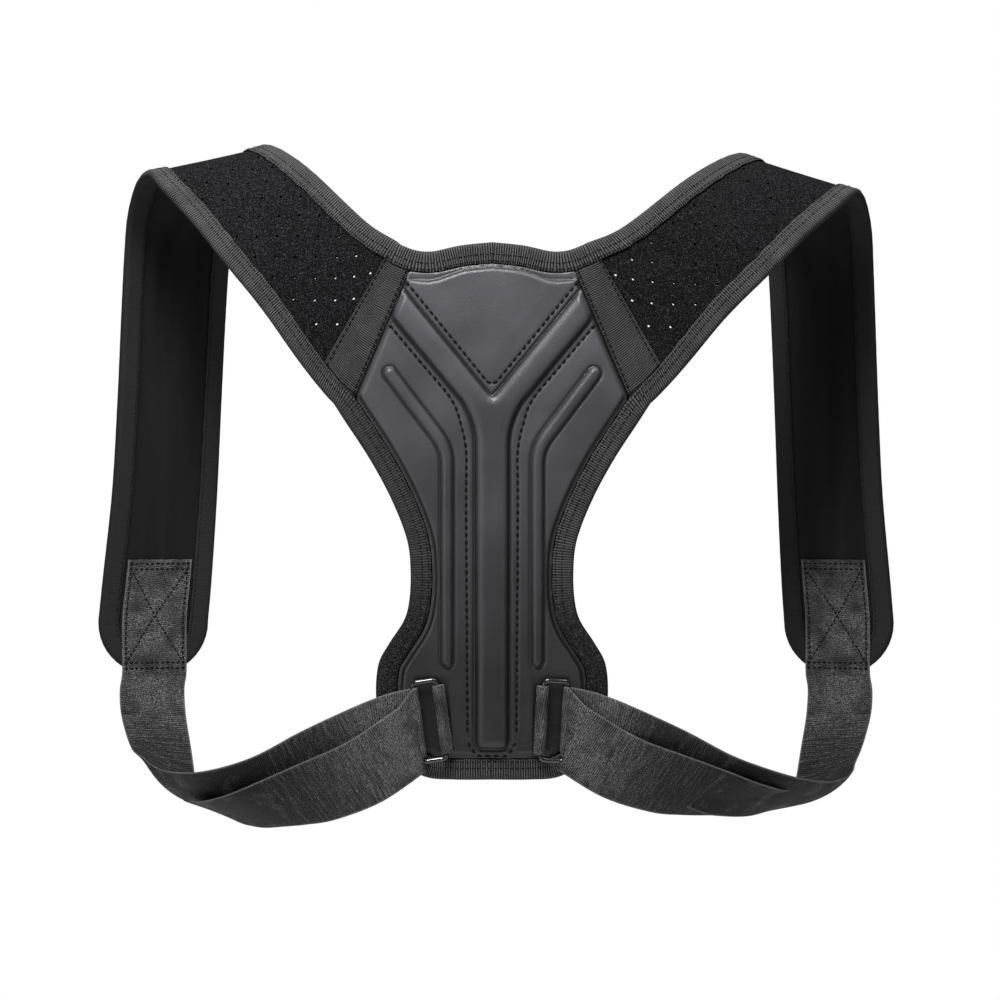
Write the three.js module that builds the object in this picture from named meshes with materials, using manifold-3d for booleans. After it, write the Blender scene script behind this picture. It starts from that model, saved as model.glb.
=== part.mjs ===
// Posture corrector: a padded back piece with a moulded panel, two perforated shoulder straps,
// and webbing that turns under each arm and comes back to a wire ring at the waist.
// Millimetres, +Z up. The origin lies on the wearer's side of the pad, on the midline.
// The outer face looks along -Y. It keeps the form that it has when worn.
import * as THREE from 'three';
import { mergeVertices } from 'three/addons/utils/BufferGeometryUtils.js';
import Module from 'manifold-3d';

const wasm = await Module();
wasm.setup();

// Pad and straps
const sheetThickness = 4;
const clearance = 0.3;
const crestLevel = 154;
const hemLevel = -155;
const neckHalf = 53;
const cornerHalf = 91.5;
const cornerLevel = 63;
const waistHalf = 46;
const waistLevel = -36;
const lobeHalf = 66;
const strapWidth = 70;
const strapEndRadius = 31;
const frontDepth = 110;
const ridgeReach = 106;
const ridgeRise = 95;
const frontSpread = 32;
const frontDrop = 304;
const ridgeSlant = 8;
const ringTilt = 5.5;

// Each side as it hangs, as shares: reach and rise of the ridge from the strap's root, spread and
// drop of the front strap below the ridge, tilt of the ring, slant of the strap at the ridge, twist of
// the cupped webbing, its sag, and the lift of its free end.
const sides = [
  {
    name: 'left',
    sign: -1,
    reach: 0.943,
    rise: 1.042,
    spread: 1.17,
    drop: 1.013,
    tilt: 1.45,
    slant: 0.3,
    twist: 1.05,
    sag: 0,
    lift: 0,
  },
  {
    name: 'right',
    sign: 1,
    reach: 1.066,
    rise: 0.958,
    spread: 0.9,
    drop: 0.987,
    tilt: 0.55,
    slant: 1,
    twist: 0.65,
    sag: 1,
    lift: 1,
  },
];

// Edge tape
const tapeThickness = 0.9;
const tapeFlap = 11;
const tapeLift = 0.45;

// Cross bands over the joints
const bandWidth = 20;
const bandThickness = 1.2;
const bandNeckInset = 11.6;
const bandArmInset = 8.6;

// Moulded panel
const panelThickness = 2.2;
const panelBevel = 0.9;
const spineHalf = 9.6;
const spineHeight = 4;
const spineBevel = 2.4;
const spineLow = -138;
const spineFork = 37;
const armSlope = 50.2;
const armWidth = 15.3;
const apexLevel = 66;
const sideRibHalf = 26.1;
const sideRibTopHalf = 59;
const sideRibTop = 79;
const sideRibBend = 38;
const sideRibLow = -87;
const sideRibWidth = 7.5;
const sideRibHeight = 2.6;

// Webbing, rings and the folds that hold them
const webWidth = 40;
const webThickness = 1.3;
const patchLength = 70;
const webCup = 4.5;
const turnLevel = -169.5;
const turnSag = 4;
const tailLift = 12;
const wireRadius = 1.4;
const ringLevel = -121.5;
const ringHalf = 29;
const ringSpan = 14;
const ringCorner = 2.6;
const ringLift = 0.9;
const foldTail = 7;

// Perforations
const holeRadius = 1;
const holePitch = 16.8;
const holeRowGap = 8.8;
const holeRows = 6;
const holeStart = 14.5;
const holeSides = 4;

// Where the layers lie, from the wearer's side outwards
const sheetMiddle = -sheetThickness / 2;
const panelBack = -sheetThickness - clearance;
const panelFront = panelBack - panelThickness;
const tapeOuter = sheetThickness / 2 + tapeLift + tapeThickness;
const ringDepth = panelFront - ringLift - webThickness - clearance - wireRadius;

const { degToRad: radians, radToDeg: degrees, lerp } = THREE.MathUtils;
const point = (x, y, z) => new THREE.Vector3(x, y, z);
const mix = (a, b, share) => a.clone().lerp(b, share);
const outwards = point(0, -1, 0);
const down = point(0, 0, -1);
const ease = (from, to, value) => THREE.MathUtils.smoothstep(value, from, to);

// Half of the pad's outline. The neck edge runs from the crest to the strap's corner.
const neckRows = [
  { out: 0, level: 1 },
  { out: 0.34, level: 0.988 },
  { out: 0.64, level: 0.966 },
  { out: 0.83, level: 0.969 },
  { out: 1, level: 0.99 },
];

// Below the strap: spread is the share of the way from the waist to the corner's half width,
// and level the share of the way up from the waist to the corner.
const sideRows = [
  { spread: 1, level: 1 },
  { spread: 0.84, level: 0.89 },
  { spread: 0.51, level: 0.657 },
  { spread: 0.235, level: 0.42 },
  { spread: 0.045, level: 0.19 },
  { spread: 0, level: 0 },
];

// Below the waist: spread is the share of the way from the waist to the lobe's half width,
// and drop the share of the way down from the waist to the hem.
const lobeRows = [
  { spread: 0.04, drop: 0.14 },
  { spread: 0.2, drop: 0.24 },
  { spread: 0.62, drop: 0.35 },
  { spread: 0.93, drop: 0.45 },
  { spread: 1, drop: 0.6 },
  { spread: 0.86, drop: 0.76 },
  { spread: 0.42, drop: 0.9 },
  { spread: -0.35, drop: 0.985 },
  { spread: -1.2, drop: 1 },
];

// Shares of the way from the strap's root to the ridge: out, back and up, with the width's
// slope in the back view, its swing towards the wearer in degrees, and its share of strapWidth.
const shoulderRows = [
  { out: 0.26, back: 0.02, up: 0.29, slope: 44, swing: 2, width: 1.12 },
  { out: 0.56, back: 0.11, up: 0.62, slope: 43, swing: 7, width: 1.04 },
  { out: 0.76, back: 0.27, up: 0.83, slope: 33, swing: 14, width: 1 },
  { out: 0.92, back: 0.4, up: 0.965, slope: 20, swing: 18, width: 1 },
  { out: 1, back: 0.54, up: 1, slope: 11, swing: 22, width: 1 },
];

// The front strap: shares of frontSpread, frontDepth and frontDrop.
const frontRows = [
  { out: 0.27, back: 0.72, down: 0.025, slope: 6, swing: 26, width: 0.99 },
  { out: 0.48, back: 0.88, down: 0.085, slope: 3, swing: 28, width: 0.98 },
  { out: 0.59, back: 0.97, down: 0.16, slope: 1, swing: 29, width: 0.96 },
  { out: 0.66, back: 1, down: 0.28, slope: 0, swing: 29, width: 0.95 },
  { out: 0.73, back: 1, down: 0.46, slope: 0, swing: 28, width: 0.94 },
  { out: 0.81, back: 1, down: 0.64, slope: 0, swing: 24, width: 0.93 },
  { out: 0.94, back: 1, down: 0.82, slope: 0, swing: 17, width: 0.94 },
  { out: 1, back: 1, down: 0.895, slope: 0, swing: 15, width: 0.94 },
];

// The webbing from the strap's end down and round under the arm: shares of the way inwards and
// forwards to the back of the ring's bar, and of the way down to the turn, with the slope and swing
// of its width in degrees and its cup as a share of webCup.
const turnRows = [
  { inward: -0.008, forward: 0.005, down: 0.158, slope: 0, swing: 14, cup: 0 },
  { inward: -0.002, forward: 0.016, down: 0.374, slope: -3, swing: 8, cup: 0 },
  { inward: 0.018, forward: 0.033, down: 0.603, slope: -9, swing: 4, cup: 0.1 },
  { inward: 0.038, forward: 0.069, down: 0.77, slope: -17, swing: 0, cup: 0.3 },
  { inward: 0.055, forward: 0.121, down: 0.859, slope: -28, swing: 0, cup: 0.7 },
  { inward: 0.066, forward: 0.191, down: 0.921, slope: -39, swing: 0, cup: 1 },
  { inward: 0.097, forward: 0.279, down: 0.957, slope: -38.5, swing: 2, cup: 1 },
  { inward: 0.15, forward: 0.358, down: 0.988, slope: -37, swing: 11, cup: 0.85 },
  { inward: 0.2, forward: 0.437, down: 1, slope: -40, swing: 17, cup: 0.65 },
  { inward: 0.274, forward: 0.552, down: 1, slope: -49, swing: 24, cup: 0.35 },
];

// From the turn to the ring, with the share of the way up from the turn.
const nearRows = [
  { inward: 0.378, forward: 0.648, up: 0.064, slope: -58, swing: 22, cup: 0.1 },
  { inward: 0.485, forward: 0.727, up: 0.181, slope: -63, swing: 12, cup: 0 },
  { inward: 0.64, forward: 0.815, up: 0.472, slope: -63, swing: 3, cup: 0 },
  { inward: 0.8, forward: 0.99, up: 0.757, slope: -65, swing: 0, cup: 0 },
  { inward: 0.915, forward: 1, up: 0.928, slope: -80, swing: 0, cup: 0 },
];

// The free end, from the front of the ring's bar back over the near webbing.
const tailRows = [
  { inward: 0.984, forward: 1, up: 0.8, slope: -66, swing: 0, cup: 0 },
  { inward: 0.82, forward: 0.975, up: 0.402, slope: -60, swing: 0, cup: 0 },
  { inward: 0.65, forward: 0.83, up: 0.117, slope: -57, swing: 9, cup: 0 },
  { inward: 0.524, forward: 0.715, up: -0.051, slope: -48, swing: 21, cup: 0 },
  { inward: 0.408, forward: 0.622, up: -0.183, slope: -37, swing: 28, cup: 0.1 },
  { inward: 0.324, forward: 0.513, up: -0.26, slope: -26, swing: 17, cup: 0.2 },
  { inward: 0.254, forward: 0.403, up: -0.266, slope: -21, swing: 0, cup: 0.2 },
];

function catmull(a, b, c, d, t) {
  return b + 0.5 * t * (c - a + t * (2 * a - 5 * b + 4 * c - d + t * (3 * (b - c) + d - a)));
}

// An item of a list, held to the list's first and last.
function held(list, i) {
  return list[THREE.MathUtils.clamp(i, 0, list.length - 1)];
}

// Rows with smooth rows between them, for every named column. After the bent rows one step is enough.
function smoothRows(rows, steps, bentRows = rows.length) {
  const found = [];
  for (let i = 0; i < rows.length - 1; i += 1) {
    const [a, b, c, d] = [i - 1, i, i + 1, i + 2].map((k) => held(rows, k));
    const count = i < bentRows ? steps : 1;
    for (let k = 0; k < count; k += 1) {
      const value = (key) => catmull(a[key], b[key], c[key], d[key], k / count);
      found.push(Object.fromEntries(Object.keys(b).map((key) => [key, value(key)])));
    }
  }
  found.push({ ...rows[rows.length - 1] });
  return found;
}

// A closed mesh from its points and triangles, turned so that its faces point out.
function closedMesh(points, triangles) {
  let volume = 0;
  for (const [a, b, c] of triangles) {
    volume += points[a].dot(points[b].clone().cross(points[c]));
  }
  const faces = volume < 0 ? triangles.map(([a, b, c]) => [a, c, b]) : triangles;
  const geometry = new THREE.BufferGeometry();
  const places = points.flatMap((p) => [p.x, p.y, p.z]);
  geometry.setAttribute('position', new THREE.Float32BufferAttribute(places, 3));
  geometry.setIndex(faces.flat());
  geometry.computeVertexNormals();
  return geometry;
}

// The two triangles of a quad, split along its shorter diagonal.
function quad(points, a, b, c, d) {
  const short = points[a].distanceToSquared(points[c]) <= points[b].distanceToSquared(points[d]);
  return short ? [[a, b, c], [a, c, d]] : [[a, b, d], [b, c, d]];
}

// Unit normals of a grid of points, from its neighbours along and across.
function gridNormals(grid) {
  const at = (i, k) => held(held(grid, i), k);
  return grid.map((row, i) =>
    row.map((_, k) => {
      const along = at(i + 1, k).clone().sub(at(i - 1, k));
      const across = at(i, k + 1).clone().sub(at(i, k - 1));
      return along.cross(across).normalize();
    }),
  );
}

// A sheet of even thickness on both sides of a grid of middle points.
function sheetSolid(grid, thickness) {
  const normals = gridNormals(grid);
  const [rows, columns] = [grid.length, grid[0].length];
  const face = (offset) =>
    grid.flatMap((row, i) => row.map((p, k) => p.clone().addScaledVector(normals[i][k], offset)));
  const points = [...face(thickness / 2), ...face(-thickness / 2)];
  const back = rows * columns;
  const id = (i, k) => i * columns + k;
  const triangles = [];
  for (let i = 0; i < rows - 1; i += 1) {
    for (let k = 0; k < columns - 1; k += 1) {
      const [a, b, c, d] = [id(i, k), id(i + 1, k), id(i + 1, k + 1), id(i, k + 1)];
      for (const [e, f, g] of quad(points, a, b, c, d)) {
        triangles.push([e, f, g], [back + e, back + g, back + f]);
      }
    }
  }
  const rim = [];
  for (let k = 0; k < columns - 1; k += 1) rim.push(id(0, k));
  for (let i = 0; i < rows - 1; i += 1) rim.push(id(i, columns - 1));
  for (let k = columns - 1; k > 0; k -= 1) rim.push(id(rows - 1, k));
  for (let i = rows - 1; i > 0; i -= 1) rim.push(id(i, 0));
  rim.forEach((a, i) => {
    const b = rim[(i + 1) % rim.length];
    triangles.push([a, b, back + b], [a, back + b, back + a]);
  });
  return closedMesh(points, triangles);
}

// A solid ring through closed sections of equal counts, the last joined to the first.
function ringSolid(sections) {
  const count = sections[0].length;
  const points = sections.flat();
  const triangles = [];
  sections.forEach((_, i) => {
    const next = (i + 1) % sections.length;
    for (let k = 0; k < count; k += 1) {
      const [a, b] = [i * count + k, i * count + ((k + 1) % count)];
      const [c, d] = [next * count + ((k + 1) % count), next * count + k];
      triangles.push(...quad(points, a, b, c, d));
    }
  });
  return closedMesh(points, triangles);
}

// An outline in the back view, given as x and z, made into a plate from one depth outwards.
function plate(shape, back, depth, bevel = 0) {
  const geometry = new THREE.ExtrudeGeometry(shape, {
    depth: depth - 2 * bevel,
    bevelEnabled: bevel > 0,
    bevelThickness: bevel,
    bevelSize: bevel,
    bevelOffset: -bevel,
    bevelSegments: 1,
    curveSegments: 6,
  });
  geometry.rotateX(Math.PI / 2);
  geometry.translate(0, back - bevel, 0);
  return geometry;
}

function toSolid(geometry) {
  const bare = geometry.clone();
  bare.deleteAttribute('normal');
  bare.deleteAttribute('uv');
  const merged = mergeVertices(bare);
  const vertProperties = new Float32Array(merged.attributes.position.array);
  const triVerts = new Uint32Array(merged.index.array);
  return new wasm.Manifold(new wasm.Mesh({ numProp: 3, vertProperties, triVerts }));
}

function fromSolid(solid) {
  const mesh = solid.getMesh();
  const geometry = new THREE.BufferGeometry();
  geometry.setAttribute('position', new THREE.BufferAttribute(new Float32Array(mesh.vertProperties), 3));
  geometry.setIndex(new THREE.BufferAttribute(new Uint32Array(mesh.triVerts), 1));
  geometry.computeVertexNormals();
  return geometry;
}

// The pad's half outline as smooth rows of x and z, on the +X side.
function neckEdge() {
  return smoothRows(neckRows, 2).map((row) => new THREE.Vector2(row.out * neckHalf, row.level * crestLevel));
}

function armEdge() {
  const upper = sideRows.map(({ spread, level }) => ({
    x: lerp(waistHalf, cornerHalf, spread),
    z: lerp(waistLevel, cornerLevel, level),
  }));
  const lower = lobeRows.map(({ spread, drop }) => ({
    x: lerp(waistHalf, lobeHalf, spread),
    z: lerp(waistLevel, hemLevel, drop),
  }));
  const rows = smoothRows([...upper, ...lower, { x: 0, z: hemLevel }], 2);
  return rows.map(({ x, z }) => new THREE.Vector2(x, z));
}

const neck = neckEdge();
const arm = armEdge();
const neckCorner = neck[neck.length - 1];
const armCorner = arm[0];
const jointAlong = neckCorner.clone().sub(armCorner).normalize();
const jointOut = new THREE.Vector2(jointAlong.y, -jointAlong.x);

function padOutline() {
  const half = [...neck, ...arm];
  const other = half.slice(1, -1).reverse().map((p) => new THREE.Vector2(-p.x, p.y));
  return new THREE.Shape([...half, ...other]);
}

// The direction across a strap or webbing towards the midline, by its slope and its swing in degrees.
function acrossDirection(side, row) {
  const [slope, swing] = [radians(row.slope), radians(row.swing)];
  const flat = Math.cos(swing);
  return point(-side.sign * Math.cos(slope) * flat, Math.sin(swing), Math.sin(slope) * flat);
}

// The middle line, width direction and width of one strap, from its root to its lower end.
function strapStations(side) {
  const root = {
    x: (neckCorner.x + armCorner.x) / 2 + jointOut.x * 2 * clearance,
    y: sheetMiddle,
    z: (neckCorner.y + armCorner.y) / 2 + jointOut.y * 2 * clearance,
    slope: degrees(Math.atan2(jointAlong.y, -jointAlong.x)),
    swing: 0,
    width: neckCorner.distanceTo(armCorner),
  };
  const ridge = { x: root.x + side.reach * ridgeReach, z: root.z + side.rise * ridgeRise };
  const endLevel = ridge.z - side.drop * frontDrop;
  const depthAt = (share) => lerp(sheetMiddle, frontDepth, share);
  const slantAt = (share) => side.slant * ridgeSlant * Math.sin(Math.PI * share);
  const over = shoulderRows.map((row) => ({
    x: lerp(root.x, ridge.x, row.out),
    y: depthAt(row.back),
    z: lerp(root.z, ridge.z, row.up),
    slope: row.slope + slantAt(row.back),
    swing: row.swing,
    width: row.width * strapWidth,
  }));
  const front = frontRows.map((row) => ({
    x: ridge.x + row.out * side.spread * frontSpread,
    y: depthAt(row.back),
    z: lerp(ridge.z, endLevel, row.down),
    slope: row.slope + slantAt(row.back),
    swing: row.swing,
    width: row.width * strapWidth,
  }));
  const rows = smoothRows([root, ...over, ...front], 3, over.length + 3);
  const last = rows[rows.length - 1];
  const full = endLevel + strapEndRadius;
  const straight = rows.filter((row) => row.z > full + 2 || row.y < frontDepth * 0.9);
  const endSteps = [0, 0.3, 0.55, 0.76, 0.92, 1];
  const end = endSteps.map((share) => {
    const turn = (share * Math.PI) / 2;
    return {
      ...last,
      z: full - strapEndRadius * Math.sin(turn),
      width: last.width - 2 * strapEndRadius * (1 - Math.cos(turn)),
      turn,
    };
  });
  return [...straight, ...end].map((row) => ({
    centre: point(side.sign * row.x, row.y, row.z),
    across: acrossDirection(side, row),
    half: row.width / 2,
    turn: row.turn ?? 0,
  }));
}

const strapColumns = 5;

function strapGrid(stations) {
  return stations.map(({ centre, across, half }) =>
    Array.from({ length: strapColumns }, (_, k) =>
      centre.clone().addScaledVector(across, half * ((2 * k) / (strapColumns - 1) - 1)),
    ),
  );
}

// A strap's station at a distance along its middle line, with the rows before and after it.
function strapAt(stations, along) {
  let left = along;
  let i = 0;
  let step = stations[0].centre.distanceTo(stations[1].centre);
  while (left > step && i < stations.length - 2) {
    left -= step;
    i += 1;
    step = stations[i].centre.distanceTo(stations[i + 1].centre);
  }
  const [a, b] = [stations[i], stations[i + 1]];
  const share = left / step;
  return {
    centre: mix(a.centre, b.centre, share),
    across: mix(a.across, b.across, share).normalize(),
    half: lerp(a.half, b.half, share),
    ahead: b.centre.clone().sub(a.centre).normalize(),
  };
}

// The front strap's station at a level.
function stationAtLevel(stations, level) {
  const last = stations.length - 1;
  let i = last;
  while (i > 0 && stations[i - 1].centre.z < level) i -= 1;
  const [a, b] = [stations[Math.max(i - 1, 0)], stations[i]];
  const share = THREE.MathUtils.clamp((a.centre.z - level) / Math.max(a.centre.z - b.centre.z, 1e-6), 0, 1);
  return { centre: mix(a.centre, b.centre, share), across: mix(a.across, b.across, share).normalize() };
}

// How far along its middle line a strap crosses the ridge.
function ridgeDistance(stations) {
  let [along, best, top] = [0, 0, -Infinity];
  stations.forEach(({ centre }, i) => {
    if (i > 0) along += centre.distanceTo(stations[i - 1].centre);
    if (centre.z > top) [top, best] = [centre.z, along];
  });
  return best;
}

// Staggered round holes over the back of the shoulder.
function perforations(stations) {
  const end = ridgeDistance(stations) - holePitch;
  const holes = [];
  for (let row = 0; row < holeRows; row += 1) {
    const beside = (row - (holeRows - 1) / 2) * holeRowGap;
    const shift = row % 2 ? 0 : holePitch / 2;
    for (let along = holeStart + shift; along < end; along += holePitch) {
      const { centre, across, ahead } = strapAt(stations, along);
      const place = centre.addScaledVector(across, beside);
      const normal = ahead.cross(across).normalize();
      const hole = new THREE.CylinderGeometry(holeRadius, holeRadius, 3 * sheetThickness, holeSides);
      hole.applyQuaternion(new THREE.Quaternion().setFromUnitVectors(point(0, 1, 0), normal));
      hole.translate(place.x, place.y, place.z);
      holes.push(toSolid(hole));
    }
  }
  return holes.reduce((all, hole) => all.add(hole));
}

function strapGeometry(stations) {
  const grid = strapGrid(stations);
  return fromSolid(toSolid(sheetSolid(grid, sheetThickness)).subtract(perforations(stations)));
}

// The directions square to an outline of the pad, in x and z, looking out.
function edgeSquares(points) {
  return points.map((_, i) => {
    const along = held(points, i + 1).clone().sub(held(points, i - 1)).normalize();
    return new THREE.Vector2(-along.y, along.x);
  });
}

// The edge tape's route round the pad, on the +X side: place, outward direction and the sheet's normal.
// Towards a strap's corner the outward direction turns to the strap's own width.
function padEdge(points, corner, cornerOut) {
  const squares = edgeSquares(points);
  return points.map((p, i) => {
    const share = 1 - ease(0, 1.5 * tapeFlap, p.distanceTo(corner));
    const out = mix(point(squares[i].x, 0, squares[i].y), cornerOut, share).normalize();
    return { place: point(p.x, sheetMiddle, p.y), out, normal: outwards };
  });
}

// The same round a strap, down its neck side and back up its arm side.
function strapEdge(side, stations) {
  const grid = strapGrid(stations);
  const normals = gridNormals(grid);
  const edge = (column, sign) =>
    stations.map(({ across, turn }, i) => ({
      place: grid[i][column],
      out: across.clone().multiplyScalar(sign * Math.cos(turn)).addScaledVector(down, Math.sin(turn)),
      normal: normals[i][column].clone().multiplyScalar(side.sign),
    }));
  return [...edge(strapColumns - 1, 1).slice(1), ...edge(0, -1).slice(1).reverse()];
}

function tapeSection({ place, out, normal }) {
  const inner = sheetThickness / 2 + tapeLift;
  const edge = clearance + tapeThickness;
  const corners = [
    [edge, tapeOuter],
    [edge, -tapeOuter],
    [-tapeFlap, -tapeOuter],
    [-tapeFlap, -inner],
    [clearance, -inner],
    [clearance, inner],
    [-tapeFlap, inner],
    [-tapeFlap, tapeOuter],
  ];
  return corners.map(([beyond, above]) =>
    place.clone().addScaledVector(out, beyond).addScaledVector(normal, above),
  );
}

function mirrored(route) {
  const flip = (v) => point(-v.x, v.y, v.z);
  const turned = [...route].reverse();
  return turned.map(({ place, out, normal }) => ({ place: flip(place), out: flip(out), normal }));
}

function bindingGeometry(straps) {
  const width = point(jointAlong.x, 0, jointAlong.y);
  const neckRun = padEdge(neck, neckCorner, width);
  const armRun = padEdge(arm, armCorner, width.clone().negate());
  const [leftRun, rightRun] = straps.map((stations, i) => strapEdge(sides[i], stations));
  const leftHalf = [...mirrored(armRun).slice(1), ...leftRun.reverse(), ...mirrored(neckRun)];
  return ringSolid([...leftHalf, ...neckRun.slice(1), ...rightRun, ...armRun].map(tapeSection));
}

// The half outline moved inwards by a distance.
function inset(points, distance) {
  const squares = edgeSquares(points);
  return points.map((p, i) => p.clone().addScaledVector(squares[i], -distance));
}

// The panel fills the pad between the tape and the cross bands.
function panelShape() {
  const border = bandWidth / 2 + clearance;
  const beside = (corner, along) =>
    corner.clone().addScaledVector(jointOut, -border).addScaledVector(jointAlong, along);
  const [top, low] = [beside(neckCorner, -bandNeckInset), beside(armCorner, bandArmInset)];
  const margin = tapeFlap + 2 * clearance;
  const upper = inset(neck, margin).filter((p) => p.x < top.x - 2);
  const lower = inset(arm, margin).filter((p) => p.y < low.y - 3);
  const half = [...upper, top, low, ...lower];
  const other = half.slice(1, -1).reverse().map((p) => new THREE.Vector2(-p.x, p.y));
  return new THREE.Shape([...half, ...other]);
}

// The raised spine, which forks into two arms below the neck.
function spineShape() {
  const slope = radians(armSlope);
  const forward = new THREE.Vector2(Math.cos(slope), Math.sin(slope));
  const square = new THREE.Vector2(forward.y, -forward.x);
  const inner = new THREE.Vector2(0, apexLevel);
  const outer = inner.clone().addScaledVector(square, armWidth);
  const reach = cornerHalf + crestLevel;
  const innerEnd = inner.clone().addScaledVector(forward, reach);
  const outerEnd = outer.clone().addScaledVector(forward, reach);
  const fork = outer.clone().addScaledVector(forward, (spineHalf * 1.8 - outer.x) / forward.x);
  const shape = new THREE.Shape();
  const round = spineHalf * 0.6;
  shape.moveTo(inner.x, inner.y);
  shape.lineTo(innerEnd.x, innerEnd.y);
  shape.lineTo(outerEnd.x, outerEnd.y);
  shape.lineTo(fork.x, fork.y);
  shape.quadraticCurveTo(spineHalf, (fork.y + spineFork) / 2, spineHalf, spineFork);
  shape.lineTo(spineHalf, spineLow + round);
  shape.quadraticCurveTo(spineHalf, spineLow, spineHalf - round, spineLow);
  shape.lineTo(round - spineHalf, spineLow);
  shape.quadraticCurveTo(-spineHalf, spineLow, -spineHalf, spineLow + round);
  shape.lineTo(-spineHalf, spineFork);
  shape.quadraticCurveTo(-spineHalf, (fork.y + spineFork) / 2, -fork.x, fork.y);
  shape.lineTo(-outerEnd.x, outerEnd.y);
  shape.lineTo(-innerEnd.x, innerEnd.y);
  return shape;
}

// A bent side rib with rounded ends.
function sideRibShape(sign) {
  const line = [
    { x: sideRibTopHalf, z: sideRibTop },
    { x: sideRibHalf + sideRibWidth, z: sideRibBend + sideRibWidth },
    { x: sideRibHalf, z: sideRibBend - sideRibWidth },
    { x: sideRibHalf, z: sideRibLow },
  ].map(({ x, z }) => new THREE.Vector2(sign * x, z));
  const half = sideRibWidth / 2;
  const squares = edgeSquares(line);
  const cap = (centre, square) =>
    [1, 2, 3].map((k) => {
      const turn = (k * Math.PI) / 4;
      const ahead = new THREE.Vector2(square.y, -square.x);
      const [beside, beyond] = [half * Math.cos(turn), half * Math.sin(turn)];
      return centre.clone().addScaledVector(square, beside).addScaledVector(ahead, beyond);
    });
  const one = line.map((p, i) => p.clone().addScaledVector(squares[i], half));
  const two = line.map((p, i) => p.clone().addScaledVector(squares[i], -half)).reverse();
  const last = line.length - 1;
  return new THREE.Shape([
    ...one,
    ...cap(line[last], squares[last]),
    ...two,
    ...cap(line[0], squares[0].clone().negate()),
  ]);
}

function panelGeometry() {
  const outline = panelShape();
  const within = toSolid(plate(outline, panelBack, panelThickness + spineHeight));
  const relief = (shape, height, bevel) =>
    toSolid(plate(shape, panelBack + bevel, panelThickness + height + bevel, bevel)).intersect(within);
  const base = toSolid(plate(outline, panelBack, panelThickness, panelBevel));
  const spine = relief(spineShape(), spineHeight, spineBevel);
  const rib = (sign) => relief(sideRibShape(sign), sideRibHeight, sideRibHeight / 2);
  return fromSolid(base.add(spine).add(rib(-1)).add(rib(1)));
}

// The band over a joint: along it on the pad, and across the strap on the other side.
function bandGeometry(side, stations) {
  const margin = tapeFlap + 2 * clearance;
  const onPad = [
    { corner: neckCorner, across: 0, along: -margin },
    { corner: neckCorner, across: -bandWidth / 2, along: -bandNeckInset },
    { corner: armCorner, across: -bandWidth / 2, along: bandArmInset },
    { corner: armCorner, across: 0, along: margin },
  ].map(({ corner, across, along }) => {
    const place = corner.clone().addScaledVector(jointOut, across).addScaledVector(jointAlong, along);
    return new THREE.Vector2(side.sign * place.x, place.y);
  });
  const { centre, across, half } = strapAt(stations, bandWidth / 2);
  const onStrap = [margin - half, half - margin].map((beside) => {
    const place = centre.clone().addScaledVector(across, beside);
    return new THREE.Vector2(place.x, place.z);
  });
  return plate(new THREE.Shape([...onPad, ...onStrap]), panelBack, bandThickness);
}

// The ring's place and its directions: up along its long bars, and outwards.
function ringFrame(side) {
  const tilt = radians(side.tilt * ringTilt);
  const up = point(side.sign * Math.sin(tilt), 0, Math.cos(tilt));
  const out = point(side.sign * Math.cos(tilt), 0, -Math.sin(tilt));
  const centre = point(side.sign * (ringHalf + ringSpan / 2), ringDepth, ringLevel);
  return { up, out, centre };
}

function ringGeometry(side) {
  const { up, out, centre } = ringFrame(side);
  const [halfHigh, halfWide] = [webWidth / 2 + clearance + ringCorner, ringSpan / 2];
  const route = [];
  [[1, 1], [-1, 1], [-1, -1], [1, -1]].forEach(([high, wide], quarter) => {
    const middle = centre
      .clone()
      .addScaledVector(up, high * (halfHigh - ringCorner))
      .addScaledVector(out, wide * (halfWide - ringCorner));
    for (let k = 0; k <= 3; k += 1) {
      const turn = (quarter + k / 3) * (Math.PI / 2);
      const away = up.clone().multiplyScalar(Math.cos(turn)).addScaledVector(out, Math.sin(turn));
      route.push({ place: middle.clone().addScaledVector(away, ringCorner), away });
    }
  });
  const sides8 = Array.from({ length: 8 }, (_, k) => (k * Math.PI) / 4);
  return ringSolid(
    route.map(({ place, away }) =>
      sides8.map((turn) =>
        place
          .clone()
          .addScaledVector(away, wireRadius * Math.cos(turn))
          .addScaledVector(outwards, wireRadius * Math.sin(turn)),
      ),
    ),
  );
}

// The short fold that holds a ring's inner bar, with its two ends pressed to the panel.
function foldGeometry(side) {
  const { up, out, centre } = ringFrame(side);
  const hole = wireRadius + clearance;
  const round = hole + webThickness;
  const floor = ringDepth - panelFront + clearance;
  const shape = new THREE.Shape();
  shape.moveTo(0, round);
  shape.absarc(0, 0, round, Math.PI / 2, (3 * Math.PI) / 2, false);
  shape.lineTo(foldTail, floor);
  shape.lineTo(foldTail, floor + webThickness);
  shape.lineTo(round, round / 2);
  shape.closePath();
  const opening = new THREE.Path();
  opening.absarc(0, 0, hole, 0, 2 * Math.PI, true);
  shape.holes.push(opening);
  const length = webWidth - 2 * clearance;
  const geometry = new THREE.ExtrudeGeometry(shape, { depth: length, bevelEnabled: false, curveSegments: 6 });
  geometry.translate(0, 0, -length / 2);
  const inward = out.clone().negate();
  const third = inward.clone().cross(outwards);
  const bar = centre.clone().addScaledVector(out, -ringSpan / 2);
  geometry.applyMatrix4(new THREE.Matrix4().makeBasis(inward, outwards, third).setPosition(bar));
  return geometry;
}

const webColumns = 3;

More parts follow.
